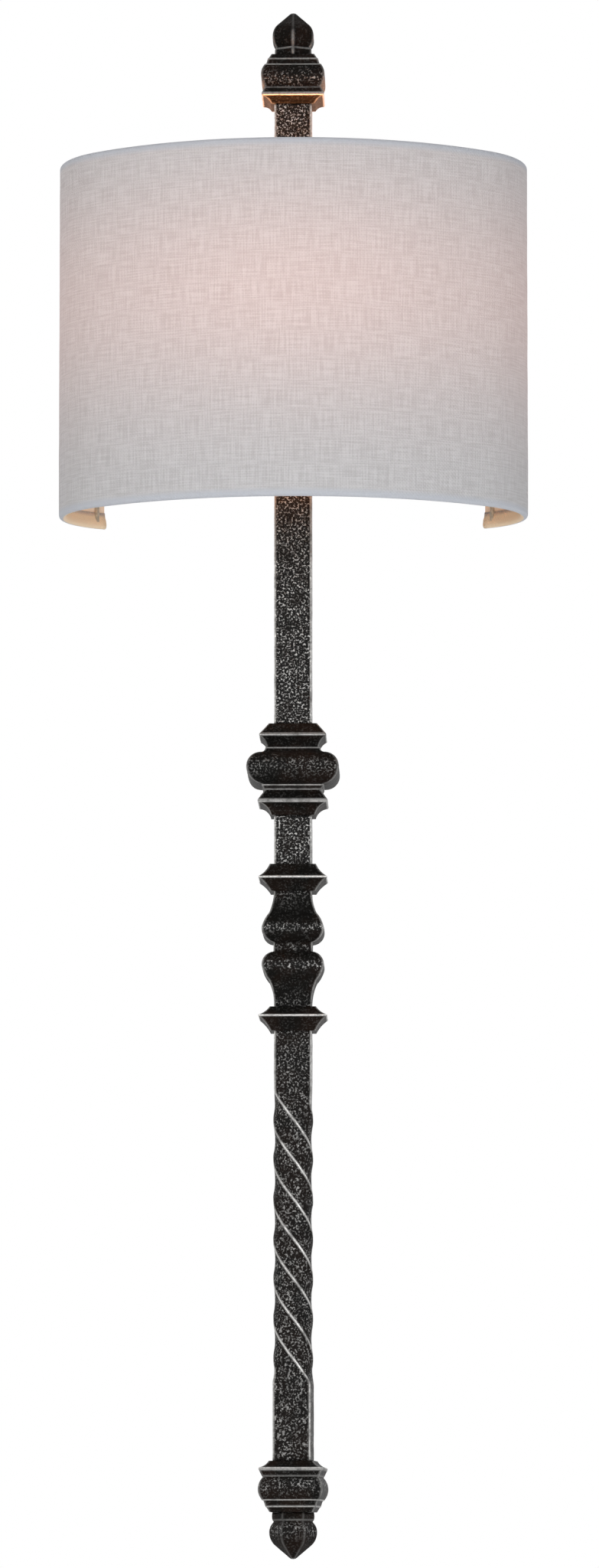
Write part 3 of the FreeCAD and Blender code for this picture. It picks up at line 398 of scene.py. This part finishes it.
# Painted lamplight: glow colours standing in for the lamps' light through the cloth.
GLOW_DARK = (0.92, 0.30, 0.16)  # lamplight through thick threads
GLOW_PALE = (1.0, 0.40, 0.24)   # and through thin ones
GLOW_INNER = (1.0, 0.60, 0.36)
GLOW_THROUGH = 0.24
GLOW_ON_INNER = 0.12
HEM_SHADING = 0.85              # share of the lamplight that doubled cloth keeps in

HARDWARE_GRAIN = 400.0
SMEAR_GRAIN = (HARDWARE_GRAIN / 5, 2.0)
HARDWARE_TONES = (0.35, 0.65)
HARDWARE_CONTRAST = 0.18
SMEARS = (0.3, 0.7)
SMEAR_SPREAD = 0.08             # how far the roughness varies either way
HARDWARE_BUMP = (0.0002, 0.4)
# slot: colour, roughness, metallic
HARDWARE = {
    "zinc_steel": ((0.50, 0.50, 0.49), 0.36, 1.0),
    "dark_steel": ((0.055, 0.050, 0.047), 0.48, 0.5),
    "green_steel": ((0.05, 0.26, 0.09), 0.4, 0.4),
    "brass": ((0.72, 0.52, 0.24), 0.3, 1.0),
    "phenolic": ((0.025, 0.022, 0.02), 0.45, 0.0),
    "sleeve_white": ((0.80, 0.77, 0.69), 0.55, 0.0),
    # frame_wire: its own pale paint, made lighter still as painted lamplight for the light it
    # catches inside the shade.
    "frame_wire": ((0.50, 0.44, 0.35), 0.45, 0.3),
    "pad_rubber": ((0.03, 0.03, 0.03), 0.8, 0.0),
}
# Painted lamplight on the lining: its warm tint and glow stand in for the lamps' light on it. The
# bulb glass's glow is the lamp's own.
# slot: noise, darker and lighter colour, roughness, colour and strength of the glow
LAMPLIT = {
    "lining": ((300.0, 2.0), (0.80, 0.66, 0.53), (0.86, 0.74, 0.62), 0.6,
               (1.0, 0.62, 0.40), 0.12),
    "bulb_glass": ((900.0, 3.0), (0.80, 0.74, 0.66), (0.86, 0.81, 0.74), 0.35,
                   (1.0, 0.62, 0.32), 0.45),
}
LAMPLIT_TONES = (0.3, 0.7)
LAMPLIT_BUMP = (0.0001, 0.3)
FILAMENT_GRAIN = 700.0
FILAMENT_COLOURS = ((1.0, 0.7, 0.4), (1.0, 0.85, 0.6))
FILAMENT_GLOW = 3.0


def iron_material():
    """Blackened iron, hammered and rubbed: silver on ridges and edges and in a fine speckle."""
    s = Shader("rubbed_iron")
    ridge = s.attribute("ridge")
    speck = s.attribute("speck")
    coarse = s.noise(*COARSE_GRAIN)
    fine = s.noise(*FINE_GRAIN)
    broad = s.noise(*BROAD_GRAIN)
    flecks = s.ramp(fine, *FLECKS)
    patches = s.ramp(coarse, *FLECK_PATCHES)
    rubbed = s.math("ADD", speck, SPECKLE_LEAST)
    speckle = s.math("MULTIPLY", s.math("MULTIPLY", flecks, patches), rubbed)
    broken = s.math("MULTIPLY", s.ramp(coarse, *RIDGE_PATCHES), s.ramp(fine, *RIDGE_FLECKS))
    silver = s.math("MAXIMUM", s.math("MULTIPLY", speckle, SPECKLE_SHARE),
                    s.math("MULTIPLY", ridge, broken))
    dark = s.mix(s.ramp(broad, *BROWN_PATCHES), IRON_BLACK, IRON_BROWN)
    greyed = s.math("MULTIPLY", speck, s.ramp(coarse, *GREY_PATCHES))
    grey = s.mix(greyed, dark, IRON_GREY)
    s.drive("Base Color", s.mix(silver, grey, SILVER))
    s.drive("Roughness", s.ramp(silver, *IRON_ROUGHNESS))
    s.drive("Metallic", s.ramp(silver, *IRON_METALLIC))
    s.set("Specular IOR Level", IRON_SPECULAR)
    s.bump(s.math("ADD", s.math("MULTIPLY", coarse, COARSE_RELIEF),
                  s.math("MULTIPLY", fine, FINE_RELIEF)), *IRON_BUMP)
    return s.material


def thread_noise(s, across, along, across_scale, along_scale):
    """Noise drawn out along one set of threads, from the cloth's own two directions."""
    place = s.tree.nodes.new("ShaderNodeCombineXYZ")
    s.link(s.math("MULTIPLY", across, across_scale), place.inputs[0])
    s.link(s.math("MULTIPLY", along, along_scale), place.inputs[1])
    node = s.tree.nodes.new("ShaderNodeTexNoise")
    node.inputs["Scale"].default_value = 1.0
    node.inputs["Detail"].default_value = SLUB_DETAIL
    s.link(place.outputs[0], node.inputs["Vector"])
    return node.outputs["Fac"]


def linen_material():
    """Coarse plain-weave linen with slubs, with the lamplight through it painted in as a glow, and
    painted shade where it lies double.
    """
    s = Shader("linen")
    arc = s.attribute("arc")
    hem = s.attribute("hem")
    glow = s.attribute("glow")
    inner = s.attribute("inner")
    split = s.tree.nodes.new("ShaderNodeSeparateXYZ")
    s.link(s.coord, split.inputs[0])
    height = split.outputs["Z"]
    turns = 2 * math.pi / (2 * THREAD_PITCH * MM)
    wander = s.math("SUBTRACT", s.noise(*WOBBLE_GRAIN), 0.5)
    wobble = s.math("MULTIPLY", wander, THREAD_WOBBLE)
    warp = s.math("SINE", s.math("ADD", s.math("MULTIPLY", arc, turns), wobble))
    weft = s.math("SINE", s.math("ADD", s.math("MULTIPLY", height, turns), wobble))
    weave = s.math("MULTIPLY", warp, weft)
    slubs = s.math("ADD", thread_noise(s, arc, height, *SLUB_SCALES),
                   thread_noise(s, arc, height, *SLUB_SCALES[::-1]))
    tone = s.math("ADD", s.math("MULTIPLY", slubs, SLUB_TONE),
                  s.math("MULTIPLY", weave, WEAVE_TONE))
    threads = s.ramp(tone, *THREAD_CONTRAST)
    # Painted shade on the hems, where the cloth lies double.
    outer = s.mix(hem, s.mix(threads, LINEN_DARK, LINEN_PALE), LINEN_HEM_PAINTED_SHADE)
    # Painted lamplight: the turned-in cloth gets a warm peach colour.
    s.drive("Base Color", s.mix(inner, outer, INNER_LINEN_PAINTED_LAMPLIGHT))
    s.set("Roughness", LINEN_ROUGHNESS)
    s.set("Specular IOR Level", LINEN_SPECULAR)
    s.set("Sheen Weight", LINEN_SHEEN[0])
    s.set("Sheen Roughness", LINEN_SHEEN[1])
    # Painted lamplight: the cloth glows where the lamps would shine through it, less where it lies
    # double.
    s.drive("Emission Color", s.mix(inner, s.mix(threads, GLOW_DARK, GLOW_PALE), GLOW_INNER))
    open_cloth = s.math("SUBTRACT", 1.0, s.math("MULTIPLY", hem, HEM_SHADING))
    through = s.math("MULTIPLY", s.math("MULTIPLY", glow, GLOW_THROUGH), open_cloth)
    # Painted lamplight glow on the turned-in cloth.
    on_inner = s.math("MULTIPLY", inner, GLOW_ON_INNER)
    s.drive("Emission Strength", s.math("MAXIMUM", through, on_inner))
    s.bump(s.math("ADD", s.math("MULTIPLY", weave, WEAVE_RELIEF),
                  s.math("MULTIPLY", slubs, SLUB_RELIEF)), *LINEN_BUMP)
    return s.material


def plain_material(name, colour, roughness, metallic):
    """A finish with a little grain and colour variation, for small hardware."""
    s = Shader(name)
    grains = s.noise(HARDWARE_GRAIN)
    darker = tuple(c * (1 - HARDWARE_CONTRAST) for c in colour)
    lighter = tuple(min(1.0, c * (1 + HARDWARE_CONTRAST)) for c in colour)
    s.drive("Base Color", s.mix(s.ramp(grains, *HARDWARE_TONES), darker, lighter))
    s.drive("Roughness", s.ramp(s.noise(*SMEAR_GRAIN), *SMEARS,
                                roughness - SMEAR_SPREAD, roughness + SMEAR_SPREAD))
    s.set("Metallic", metallic)
    s.bump(grains, *HARDWARE_BUMP)
    return s.material


def lamplit_material(name, grain, darker, lighter, roughness, glow, strength):
    """A pale finish with a glow: painted lamplight on the stiff lining, the lamp's own light on the
    frosted glass.
    """
    s = Shader(name)
    grains = s.noise(*grain)
    s.drive("Base Color", s.mix(s.ramp(grains, *LAMPLIT_TONES), darker, lighter))
    s.set("Roughness", roughness)
    s.glow(glow, strength)
    s.bump(grains, *LAMPLIT_BUMP)
    return s.material


def filament_material():
    """The glowing filament and its stem."""
    s = Shader("filament")
    s.drive("Base Color", s.mix(s.noise(FILAMENT_GRAIN), *FILAMENT_COLOURS))
    s.glow(FILAMENT_COLOURS[0], FILAMENT_GLOW)
    return s.material


def make_materials():
    materials = {
        "rubbed_iron": iron_material(),
        "linen": linen_material(),
        "filament": filament_material(),
    }
    for slot, finish in LAMPLIT.items():
        materials[slot] = lamplit_material(slot, *finish)
    for slot, finish in HARDWARE.items():
        materials[slot] = plain_material(slot, *finish)
    return materials


# --- Outlines of the column's pieces, in millimetres ---
# (half width across flats, height), or two of these for an arc: a point on it and its end
END_KNOP = [(12.1, 0.0), (13.9, 2.2, 17.0, 3.6), (17.2, 4.6), (15.5, 8.4), (15.1, 8.8),
            (17.5, 14.8, 15.9, 20.5), (15.5, 21.3), (14.7, 21.5), (13.7, 24.8), (13.2, 25.1),
            (11.8, END_KNOP_HEIGHT)]
FINIAL = [(9.9, 0.0), (10.15, 2.1, 9.9, 4.2), (9.4, 4.8), (9.4, 5.2), (11.05, 8.2, 11.35, 11.0),
          (10.9, 14.0, 9.0, 17.4), (2.2, 24.1), (1.3, 24.9, 0.0, FINIAL_HEIGHT)]
BIG_KNOP = [(12.2, 0.0), (14.4, 4.0, 18.9, 6.3), (19.1, 7.6), (15.3, 13.0), (15.8, 13.3),
            (17.0, 16.1), (16.6, 16.5), (25.15, 25.2, 17.0, 33.9), (15.4, 34.9, 14.9, 36.6),
            (14.2, 37.0), (14.4, 38.1), (16.0, 40.9, 18.3, 42.9), (18.2, 43.7),
            (13.1, BIG_KNOP_HEIGHT)]
BULB = [(10.6, 2.5), (14.9, 4.8, 16.9, 10.4), (15.6, 14.2, 13.0, 18.3),
        (11.4, 22.6, HALF_BAR, BULB_END)]


def collar_outline(cove, bevel):
    """A bevel up to the ridge, then a cove up to the top face. Heights are from the ridge."""
    return [(12.4, -bevel), (15.2, -COLLAR_HOLLOW * bevel, COLLAR_RIDGE, -COLLAR_LIP),
            (COLLAR_RIDGE, COLLAR_LIP), (15.0, COLLAR_HOLLOW * cove, 12.6, cove)]


def knuckle_outline():
    """Both bulbs, mirrored about the waist, with plain ends."""
    half = (UPPER_JOINT - LOWER_JOINT) / 2
    lower = [(HALF_BAR, -half), (HALF_BAR, -BULB_END)]
    ends = [(step[-2], -step[-1]) for step in BULB]
    for i in range(len(BULB) - 1, 0, -1):
        via = BULB[i]
        lower.append((via[0], -via[1], *ends[i - 1]))
    return lower + BULB + [(HALF_BAR, half)]


# --- How the surfaces are drawn, in millimetres ---
ROW_STEP = 1.1              # between rows up a piece
SIDE_STEP = 1.1             # between points along a side
TWIST_STEP = 0.9
LEAST_SIDE_POINTS = 8
LEAST_HALF = 0.02           # half width at a tip
SHARP_TURN = 0.3            # radians from which an outline's corner is softened and worn
CORNER_SOFT = 0.35
CORNER_SHARE = 0.4          # the most that softening takes of a short step
CORNER_FLANK = 0.8          # wear at the two sides of a softened corner
ROW_FADE = 0.5              # distance over which a worn corner dies out
EDGE_SOFT = 0.45            # how far a long edge is rubbed round
EDGE_SHARE = 0.3            # the most that this takes of a narrow side
EDGE_START = 0.4            # where the rubbed edge starts, as a share of its softness
EDGE_DROP = 0.3             # how far it drops, as a share of its softness
EDGE_REACH = 0.9            # distance from an edge at which its wear ends
EDGE_FADE = 6.0             # height over which a worn edge dies out
EDGE_LEAST = 0.25           # share of wear that is left above that

DENT_SIZE = 7.0
DENT_SCALE = 1 / (DENT_SIZE * MM)
SMALL_DENTS = 2.3           # how much finer the smaller dents are
SMALL_DENT_SHARE = 0.5
SMALL_DENT_SHIFT = Vector((7.1, 3.3, 9.7))
CHIPS = 3.1                 # how much finer the chips on worn edges are
CHIP_SHARE = 0.8
CHIP_SHIFT = Vector((1.7, 8.2, 4.4))
DENT_SPREAD = 0.7
DENT_SINK = 0.35            # keeps the dented surface inside the plain one

BAR_SPECK = 0.9             # share of rubbed speckle on the bar
TWIST_SPECK = 0.50          # and on its lowest length
BAR_DENTS = 0.16            # depth of the hammering
BULGE_DENTS = 0.14
KNOP_DENTS = 0.10
KNOP_EDGE = 0.45            # share of wear on the long edges
# crowns: (height on the outline, spread, amount of speckle)
END_CROWN = [(13.0, 3.6, 0.55)]
BIG_KNOP_CROWN = [(26.0, 4.0, 0.45)]
KNUCKLE_CROWNS = [(10.4, 1.9, 0.75), (-10.0, 2.2, 0.85), (0.0, 2.0, 0.45), (36.0, 9.0, 0.5),
                  (-37.0, 9.0, 0.6)]
LOWER_FINIAL_CROWN = [(9.5, 3.6, 0.6)]


def arc_points(start, via, end):
    """Points after start along the circle through three points."""
    (x1, z1), (x2, z2), (x3, z3) = start, via, end
    d = 2 * (x1 * (z2 - z3) + x2 * (z3 - z1) + x3 * (z1 - z2))
    s1, s2, s3 = x1 * x1 + z1 * z1, x2 * x2 + z2 * z2, x3 * x3 + z3 * z3
    cx = (s1 * (z2 - z3) + s2 * (z3 - z1) + s3 * (z1 - z2)) / d
    cz = (s1 * (x3 - x2) + s2 * (x1 - x3) + s3 * (x2 - x1)) / d
    radius = math.hypot(x1 - cx, z1 - cz)
    first = math.atan2(z1 - cz, x1 - cx)
    middle = (math.atan2(z2 - cz, x2 - cx) - first) % math.tau
    sweep = (math.atan2(z3 - cz, x3 - cx) - first) % math.tau
    if middle > sweep:
        sweep -= math.tau
    count = max(2, round(abs(sweep) * radius / ROW_STEP))
    angles = [first + sweep * i / count for i in range(1, count + 1)]
    return [(cx + radius * math.cos(angle), cz + radius * math.sin(angle)) for angle in angles]


def sampled(outline):
    """Rows of (half width, height, wear), evenly spaced, with the outline's corners softened."""
    points = [outline[0]]
    for piece in outline[1:]:
        if len(piece) == 4:
            points += arc_points(points[-1], piece[:2], piece[2:])
        else:
            points.append(piece)
    rows = []
    for i, place in enumerate(points):
        if i == 0 or i == len(points) - 1:
            rows.append((*place, 0.0))
            continue
        here = Vector(place)
        before, after = Vector(points[i - 1]) - here, Vector(points[i + 1]) - here
        turn = math.pi - before.angle(after) if before.length * after.length else 0.0
        if turn < SHARP_TURN:
            rows.append((*place, 0.0))
            continue
        cut = min(CORNER_SOFT, CORNER_SHARE * before.length, CORNER_SHARE * after.length)
        a = here + before.normalized() * cut
        b = here + after.normalized() * cut
        outward = (before.normalized() + after.normalized()).x < 0
        middle = (a + b) / 4 + here / 2
        worn = min(1.0, turn) if outward else 0.0
        rows += [(a.x, a.y, worn * CORNER_FLANK), (middle.x, middle.y, worn),
                 (b.x, b.y, worn * CORNER_FLANK)]
    return filled(rows)


def filled(rows):
    """Adds rows between those further apart than a step."""
    full = [rows[0]]
    for row in rows[1:]:
        here = full[-1]
        gap = math.hypot(row[0] - here[0], row[1] - here[1])
        count = max(1, math.ceil(gap / ROW_STEP))
        for i in range(1, count):
            t = i / count
            fade = (here[2] * max(0.0, 1 - t * gap / ROW_FADE)
                    + row[2] * max(0.0, 1 - (1 - t) * gap / ROW_FADE))
            full.append((here[0] + (row[0] - here[0]) * t, here[1] + (row[1] - here[1]) * t, fade))
        full.append(row)
    return full


def polygon_section(half, sides, turn, count, bulge=0.0):
    """Points (x, y, wear) round one level of a regular polygon, where wear is 1 on an edge."""
    reach = half / math.cos(math.pi / sides) * math.sin(math.pi / sides)
    soft = min(EDGE_SOFT, reach * EDGE_SHARE)
    inner = reach - soft
    stops = [-1.0 + EDGE_START * soft / reach]
    stops += [(-inner + 2 * inner * i / count) / reach for i in range(count + 1)]
    points = []
    for side in range(sides):
        facing = math.tau * side / sides + turn
        normal = Vector((math.cos(facing), math.sin(facing)))
        along = Vector((-normal.y, normal.x))
        for t in stops:
            corner = max(0.0, 1 - (1 - abs(t)) * reach / EDGE_REACH)
            swell = bulge * (1 - t * t)
            drop = EDGE_DROP * soft if t == stops[0] else 0.0
            p = normal * (half + swell - drop) + along * (t * reach)
            points.append((p.x, p.y, corner))
    return points


def mark_points(mesh, **attributes):
    """Stores one number for each point under each name, for the material to read."""
    for name, values in attributes.items():
        mark = mesh.attributes.new(name, "FLOAT", "POINT")
        mark.data.foreach_set("value", values)


def skin(name, levels, body, slot, replaced, edge, dents):
    """One closed mesh through levels of (z, section, row wear, speckle), in millimetres."""
    count = len(levels[0][1])
    vertices, ridges, specks = [], [], []
    for z, section, row_wear, speck in levels:
        for x, y, wear in section:
            vertices.append((x * MM, (y + BAR_Y) * MM, z * MM))
            ridges.append(max(wear * edge, row_wear))
            specks.append(speck)
    faces = []
    for row in range(len(levels) - 1):
        for i in range(count):
            j = (i + 1) % count
            a, b = row * count, (row + 1) * count
            faces.append((a + i, a + j, b + j, b + i))
    for row, flip in ((0, True), (len(levels) - 1, False)):
        centre = len(vertices)
        vertices.append((0.0, BAR_Y * MM, levels[row][0] * MM))
        ridges.append(0.0)
        specks.append(levels[row][3])
        for i in range(count):
            a, b = row * count + i, row * count + (i + 1) % count
            faces.append((b, a, centre) if flip else (a, b, centre))
    mesh = bpy.data.meshes.new(name)
    mesh.from_pydata(vertices, [], faces)
    mesh.update()
    dent(mesh, dents, ridges)
    mark_points(mesh, ridge=ridges, speck=specks)
    mesh.shade_smooth()
    piece = bpy.data.objects.new(name, mesh)
    bpy.context.scene.collection.objects.link(piece)
    mesh.materials.append(MATERIALS[slot])
    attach(piece, body)
    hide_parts(*replaced)


def dent(mesh, depth, ridges):
    """Moves the surface by a smooth hammered pattern. Worn edges lose a little more."""
    normals = [v.normal.copy() for v in mesh.vertices]
    for v, normal, ridge in zip(mesh.vertices, normals, ridges):
        place = v.co * DENT_SCALE
        small = noise.noise(place * SMALL_DENTS + SMALL_DENT_SHIFT)
        wave = noise.noise(place) + SMALL_DENT_SHARE * small
        chip = max(0.0, noise.noise(place * CHIPS + CHIP_SHIFT)) * ridge * CHIP_SHARE
        v.co += normal * ((wave * DENT_SPREAD - DENT_SINK) * depth - chip * depth) * MM


def speckle_at(height, base, crowns):
    """The share of rubbed speckle at a height, with more on each crown (height, spread, amount)."""
    extra = sum(amount * math.exp(-((height - middle) / spread) ** 2)
                for middle, spread, amount in crowns)
    return min(1.0, base + extra)


def worn_section(section, height, limit):
    """The same points, with their edges worn up to the limit's height and hardly above it."""
    if limit is None:
        return section
    share = max(EDGE_LEAST, min(1.0, 1 - (height - limit) / EDGE_FADE))
    return [(x, y, wear * share) for x, y, wear in section]


def forged(name, outline, sides, base, up=1, turn=0.0, body="sconce", speck=0.0, crowns=(),
           edge=KNOP_EDGE, dents=KNOP_DENTS, worn_to=None, ridge=1.0):
    """A piece with the same outline on every side. base is the height of the outline's zero.

    edge is the wear on its long edges, which ends at the height worn_to, and ridge the wear
    on the corners of its outline. speck and crowns give the speckle, dents the hammering.
    """
    rows = [(half, height, worn * ridge, speckle_at(height, speck, crowns))
            for half, height, worn in sampled(outline)]
    if up < 0:
        rows = [(half, -height, worn, rubbed) for half, height, worn, rubbed in rows][::-1]
    reach = max(row[0] for row in rows) * math.tan(math.pi / sides)
    count = max(LEAST_SIDE_POINTS, round(2 * reach / SIDE_STEP))
    levels = []
    for half, height, worn, rubbed in rows:
        section = polygon_section(max(half, LEAST_HALF), sides, turn, count)
        levels.append((base + height, worn_section(section, height, worn_to), worn, rubbed))
    skin("forged_" + name, levels, body, "rubbed_iron", [name], edge, dents)


def twist_angle(depth):
    """Radians turned at a depth below the top of the twist, eased in and out at its ends."""
    total = math.tau * TWIST_TURNS
    full = total / (TWIST_LENGTH - TWIST_EASE)
    if depth <= 0:
        return 0.0
    if depth >= TWIST_LENGTH:
        return total
    if depth < TWIST_EASE:
        return full * depth ** 2 / (2 * TWIST_EASE)
    if depth > TWIST_LENGTH - TWIST_EASE:
        return total - full * (TWIST_LENGTH - depth) ** 2 / (2 * TWIST_EASE)
    return full * (depth - TWIST_EASE / 2)


def cushion_section(depth, count):
    """The twisted bar's section: square at the ends of the twist, a rounded cushion along it."""
    near = min(depth, TWIST_LENGTH - depth) / TWIST_EASE
    blend = 0.5 - 0.5 * math.cos(math.pi * max(0.0, min(1.0, near)))
    ridge = HALF_BAR * math.sqrt(2) * (1 - blend) + TWIST_RIDGE_R * blend
    face = HALF_BAR * (1 - blend) + TWIST_FACE_R * blend
    half = ridge / math.sqrt(2)
    return polygon_section(half, 4, twist_angle(depth), count, bulge=face - half)


def make_twisted_bar():
    heights = []
    height = COLUMN_BOTTOM
    while height < LOWER_JOINT:
        heights.append(height)
        height += TWIST_STEP
    heights.append(LOWER_JOINT)
    count = round(2 * HALF_BAR / SIDE_STEP)
    levels = [(height, cushion_section(TWIST_TOP - height, count), 0.0, TWIST_SPECK)
              for height in heights]
    skin("forged_twisted_bar", levels, "sconce", "rubbed_iron", ["twisted_bar"], 1.0, BAR_DENTS)


def make_bar(name, bottom, top):
    """A plain length of square bar."""
    forged(name, [(HALF_BAR, bottom), (HALF_BAR, top)], 4, 0.0, speck=BAR_SPECK, edge=1.0,
           dents=BAR_DENTS)


def make_column():
    knop_top = COLUMN_TOP + END_KNOP_HEIGHT
    knop_bottom = COLUMN_BOTTOM - END_KNOP_HEIGHT
    waist = (UPPER_JOINT + LOWER_JOINT) / 2
    forged("upper_finial", FINIAL, 6, knop_top + FINIAL_GAP, body="upper_finial",
           edge=0.5, worn_to=10.0, ridge=0.6)
    forged("upper_knop", END_KNOP, 4, COLUMN_TOP, crowns=END_CROWN, ridge=0.7)
    make_bar("upper_bar", BIG_KNOP_TOP, COLUMN_TOP)
    forged("big_knop", BIG_KNOP, 4, BIG_KNOP_BOTTOM, crowns=BIG_KNOP_CROWN,
           dents=BULGE_DENTS, ridge=0.6)
    make_bar("middle_bar", UPPER_JOINT, BIG_KNOP_BOTTOM)
    forged("upper_collar", collar_outline(*UPPER_COLLAR), 4, UPPER_JOINT)
    forged("double_knuckle", knuckle_outline(), 4, waist, crowns=KNUCKLE_CROWNS, edge=0.6,
           dents=BULGE_DENTS)
    forged("lower_collar", collar_outline(*LOWER_COLLAR), 4, LOWER_JOINT)
    make_twisted_bar()
    forged("lower_knop", END_KNOP, 4, COLUMN_BOTTOM, up=-1, turn=math.radians(-FOOT_TURN),
           crowns=END_CROWN, ridge=0.7)
    forged("lower_finial", FINIAL, 6, knop_bottom - FINIAL_GAP, up=-1,
           turn=math.radians(LOWER_FINIAL_TURN), body="lower_finial",
           crowns=LOWER_FINIAL_CROWN, edge=0.15, ridge=0.35)


# --- The shade ---
PLAN_STEP = 3.0             # between stations round the shade, in millimetres
LEAST_STATIONS = 3          # steps on the shortest arc
CLOTH_ROWS = 66
HEM_STEPS = 10              # steps round a frame wire
# The painted lamplight glow on the cloth, spread round the two lamps.
GLOW_SIDES = 0.58           # share of the lamplight at the shade's sides
GLOW_HALF_WIDTH = 95.0
GLOW_MIDDLE_Z = 26.0
GLOW_HALF_HEIGHT = 47.0


def plan_arcs():
    """The plan's arcs from the left end round the front: (x, y, radius, start angle, sweep)."""
    centre_y = SHADE_FRONT_Y + SHADE_FRONT_R
    side_x = HALF_SHADE - SHADE_SIDE_R
    back_x = HALF_SHADE - SHADE_BACK_R
    end = math.asin((SHADE_END_Y - SHADE_WIDEST_Y) / SHADE_BACK_R)
    join = math.atan2(SHADE_WIDEST_Y - centre_y, side_x)
    return [(-back_x, SHADE_WIDEST_Y, SHADE_BACK_R, math.pi - end, end),
            (-side_x, SHADE_WIDEST_Y, SHADE_SIDE_R, math.pi, -join),
            (0.0, centre_y, SHADE_FRONT_R, math.pi - join, math.pi + 2 * join),
            (side_x, SHADE_WIDEST_Y, SHADE_SIDE_R, join, -join),
            (back_x, SHADE_WIDEST_Y, SHADE_BACK_R, 0.0, end)]


def plan_stations():
    """(arc length, centre x, centre y, radius, angle) along the plan at the outer face."""
    stations = []
    travelled = 0.0
    for x, y, radius, start, sweep in plan_arcs():
        length = radius * abs(sweep)
        count = max(LEAST_STATIONS, round(length / PLAN_STEP))
        for i in range(1 if stations else 0, count + 1):
            angle = start + sweep * i / count
            stations.append((travelled + length * i / count, x, y, radius, angle))
        travelled += length
    return stations


def cloth_profile():
    """(inset, height) of the cloth's outer face from the lower turned-in edge to the upper one."""
    lower = SHADE_BOTTOM + HEM_R
    upper = SHADE_TOP - HEM_R
    turned_in = [(HEM_EDGE, HEM_TURN_IN), (HEM_MIDDLE[0], HEM_MIDDLE[1] * HEM_TURN_IN), HEM_SWELL]
    rolled = []
    for i in range(HEM_STEPS + 1):
        angle = math.pi * i / HEM_STEPS
        rolled.append((HEM_R * math.cos(angle), HEM_R * math.sin(angle)))
    points = [(inset, lower + rise) for inset, rise in turned_in]
    points += [(HEM_R + back, lower - out) for back, out in rolled]
    points += [(0.0, lower + (upper - lower) * i / CLOTH_ROWS) for i in range(1, CLOTH_ROWS)]
    points += [(HEM_R - back, upper + out) for back, out in rolled]
    points += [(inset, upper - rise) for inset, rise in turned_in[::-1]]
    return points


def glow_at(point):
    """The strength of the painted lamplight glow on the cloth at a point in millimetres, 0 to 1."""
    across = GLOW_SIDES + (1 - GLOW_SIDES) * math.exp(-(point.x / GLOW_HALF_WIDTH) ** 2)
    upright = math.exp(-0.5 * ((point.z - GLOW_MIDDLE_Z) / GLOW_HALF_HEIGHT) ** 2)
    return across * upright


def make_shade():
    """The linen, rolled round both frame wires, with marks for its hems and its glow."""
    profile = cloth_profile()
    stations = plan_stations()
    length = stations[-1][0]
    vertices, arcs, hems, inners, glows = [], [], [], [], []
    for travelled, cx, cy, radius, angle in stations:
        for inset, height in profile:
            place = Vector((travelled / RIPPLE_SIZE, height / RIPPLE_SIZE, RIPPLE_SLICE))
            r = radius - inset + RIPPLE * noise.noise(place)
            point = Vector((cx + r * math.cos(angle), cy + r * math.sin(angle), height))
            vertices.append(point * MM)
            arcs.append(travelled * MM)
            edge = min(height - SHADE_BOTTOM, SHADE_TOP - height) / HEM_BAND
            end = min(travelled, length - travelled) / END_HEM
            hems.append(1.0 if min(edge, end) < 1.0 else 0.0)
            inners.append(1.0 if inset > INNER_INSET * HEM_R else 0.0)
            glows.append(glow_at(point))
    rows = len(profile)
    faces = [(i * rows + j, (i + 1) * rows + j, (i + 1) * rows + j + 1, i * rows + j + 1)
             for i in range(len(stations) - 1) for j in range(rows - 1)]
    mesh = bpy.data.meshes.new("linen_shade")
    mesh.from_pydata(vertices, [], faces)
    mark_points(mesh, arc=arcs, hem=hems, inner=inners, glow=glows)
    mesh.shade_smooth()
    shade = bpy.data.objects.new("linen_shade", mesh)
    bpy.context.scene.collection.objects.link(shade)
    mesh.materials.append(MATERIALS["linen"])
    thicken(shade, CLOTH * MM)
    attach(shade, "shade")
    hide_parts("shade_cover")
    height = sum(math.dist(profile[i], profile[i + 1]) for i in range(rows - 1))


def thicken(piece, thickness):
    """Gives a skin its thickness, on the inner side."""
    bpy.context.view_layer.objects.active = piece
    modifier = piece.modifiers.new("thickness", "SOLIDIFY")
    modifier.thickness = thickness
    modifier.offset = -1.0
    piece.select_set(True)
    bpy.ops.object.modifier_apply(modifier=modifier.name)
    piece.select_set(False)


# --- The rest ---
def dress_nodes():
    """Gives every construction node that still shows its own finish."""
    for part in frame["record"]["subparts"]:
        piece = NODES[part["node"]]
        piece.data.materials.clear()
        piece.data.materials.append(MATERIALS[part["material_slot"]])


MATERIALS = make_materials()
make_camera()
make_world()
make_lights()
make_floor()
for lamp, side in LAMP_SIDES.items():
    lamp_light("lamp_" + lamp, side * LAMP_X)
dress_nodes()
make_column()
make_shade()
bpy.context.scene.view_settings.view_transform = "Standard"
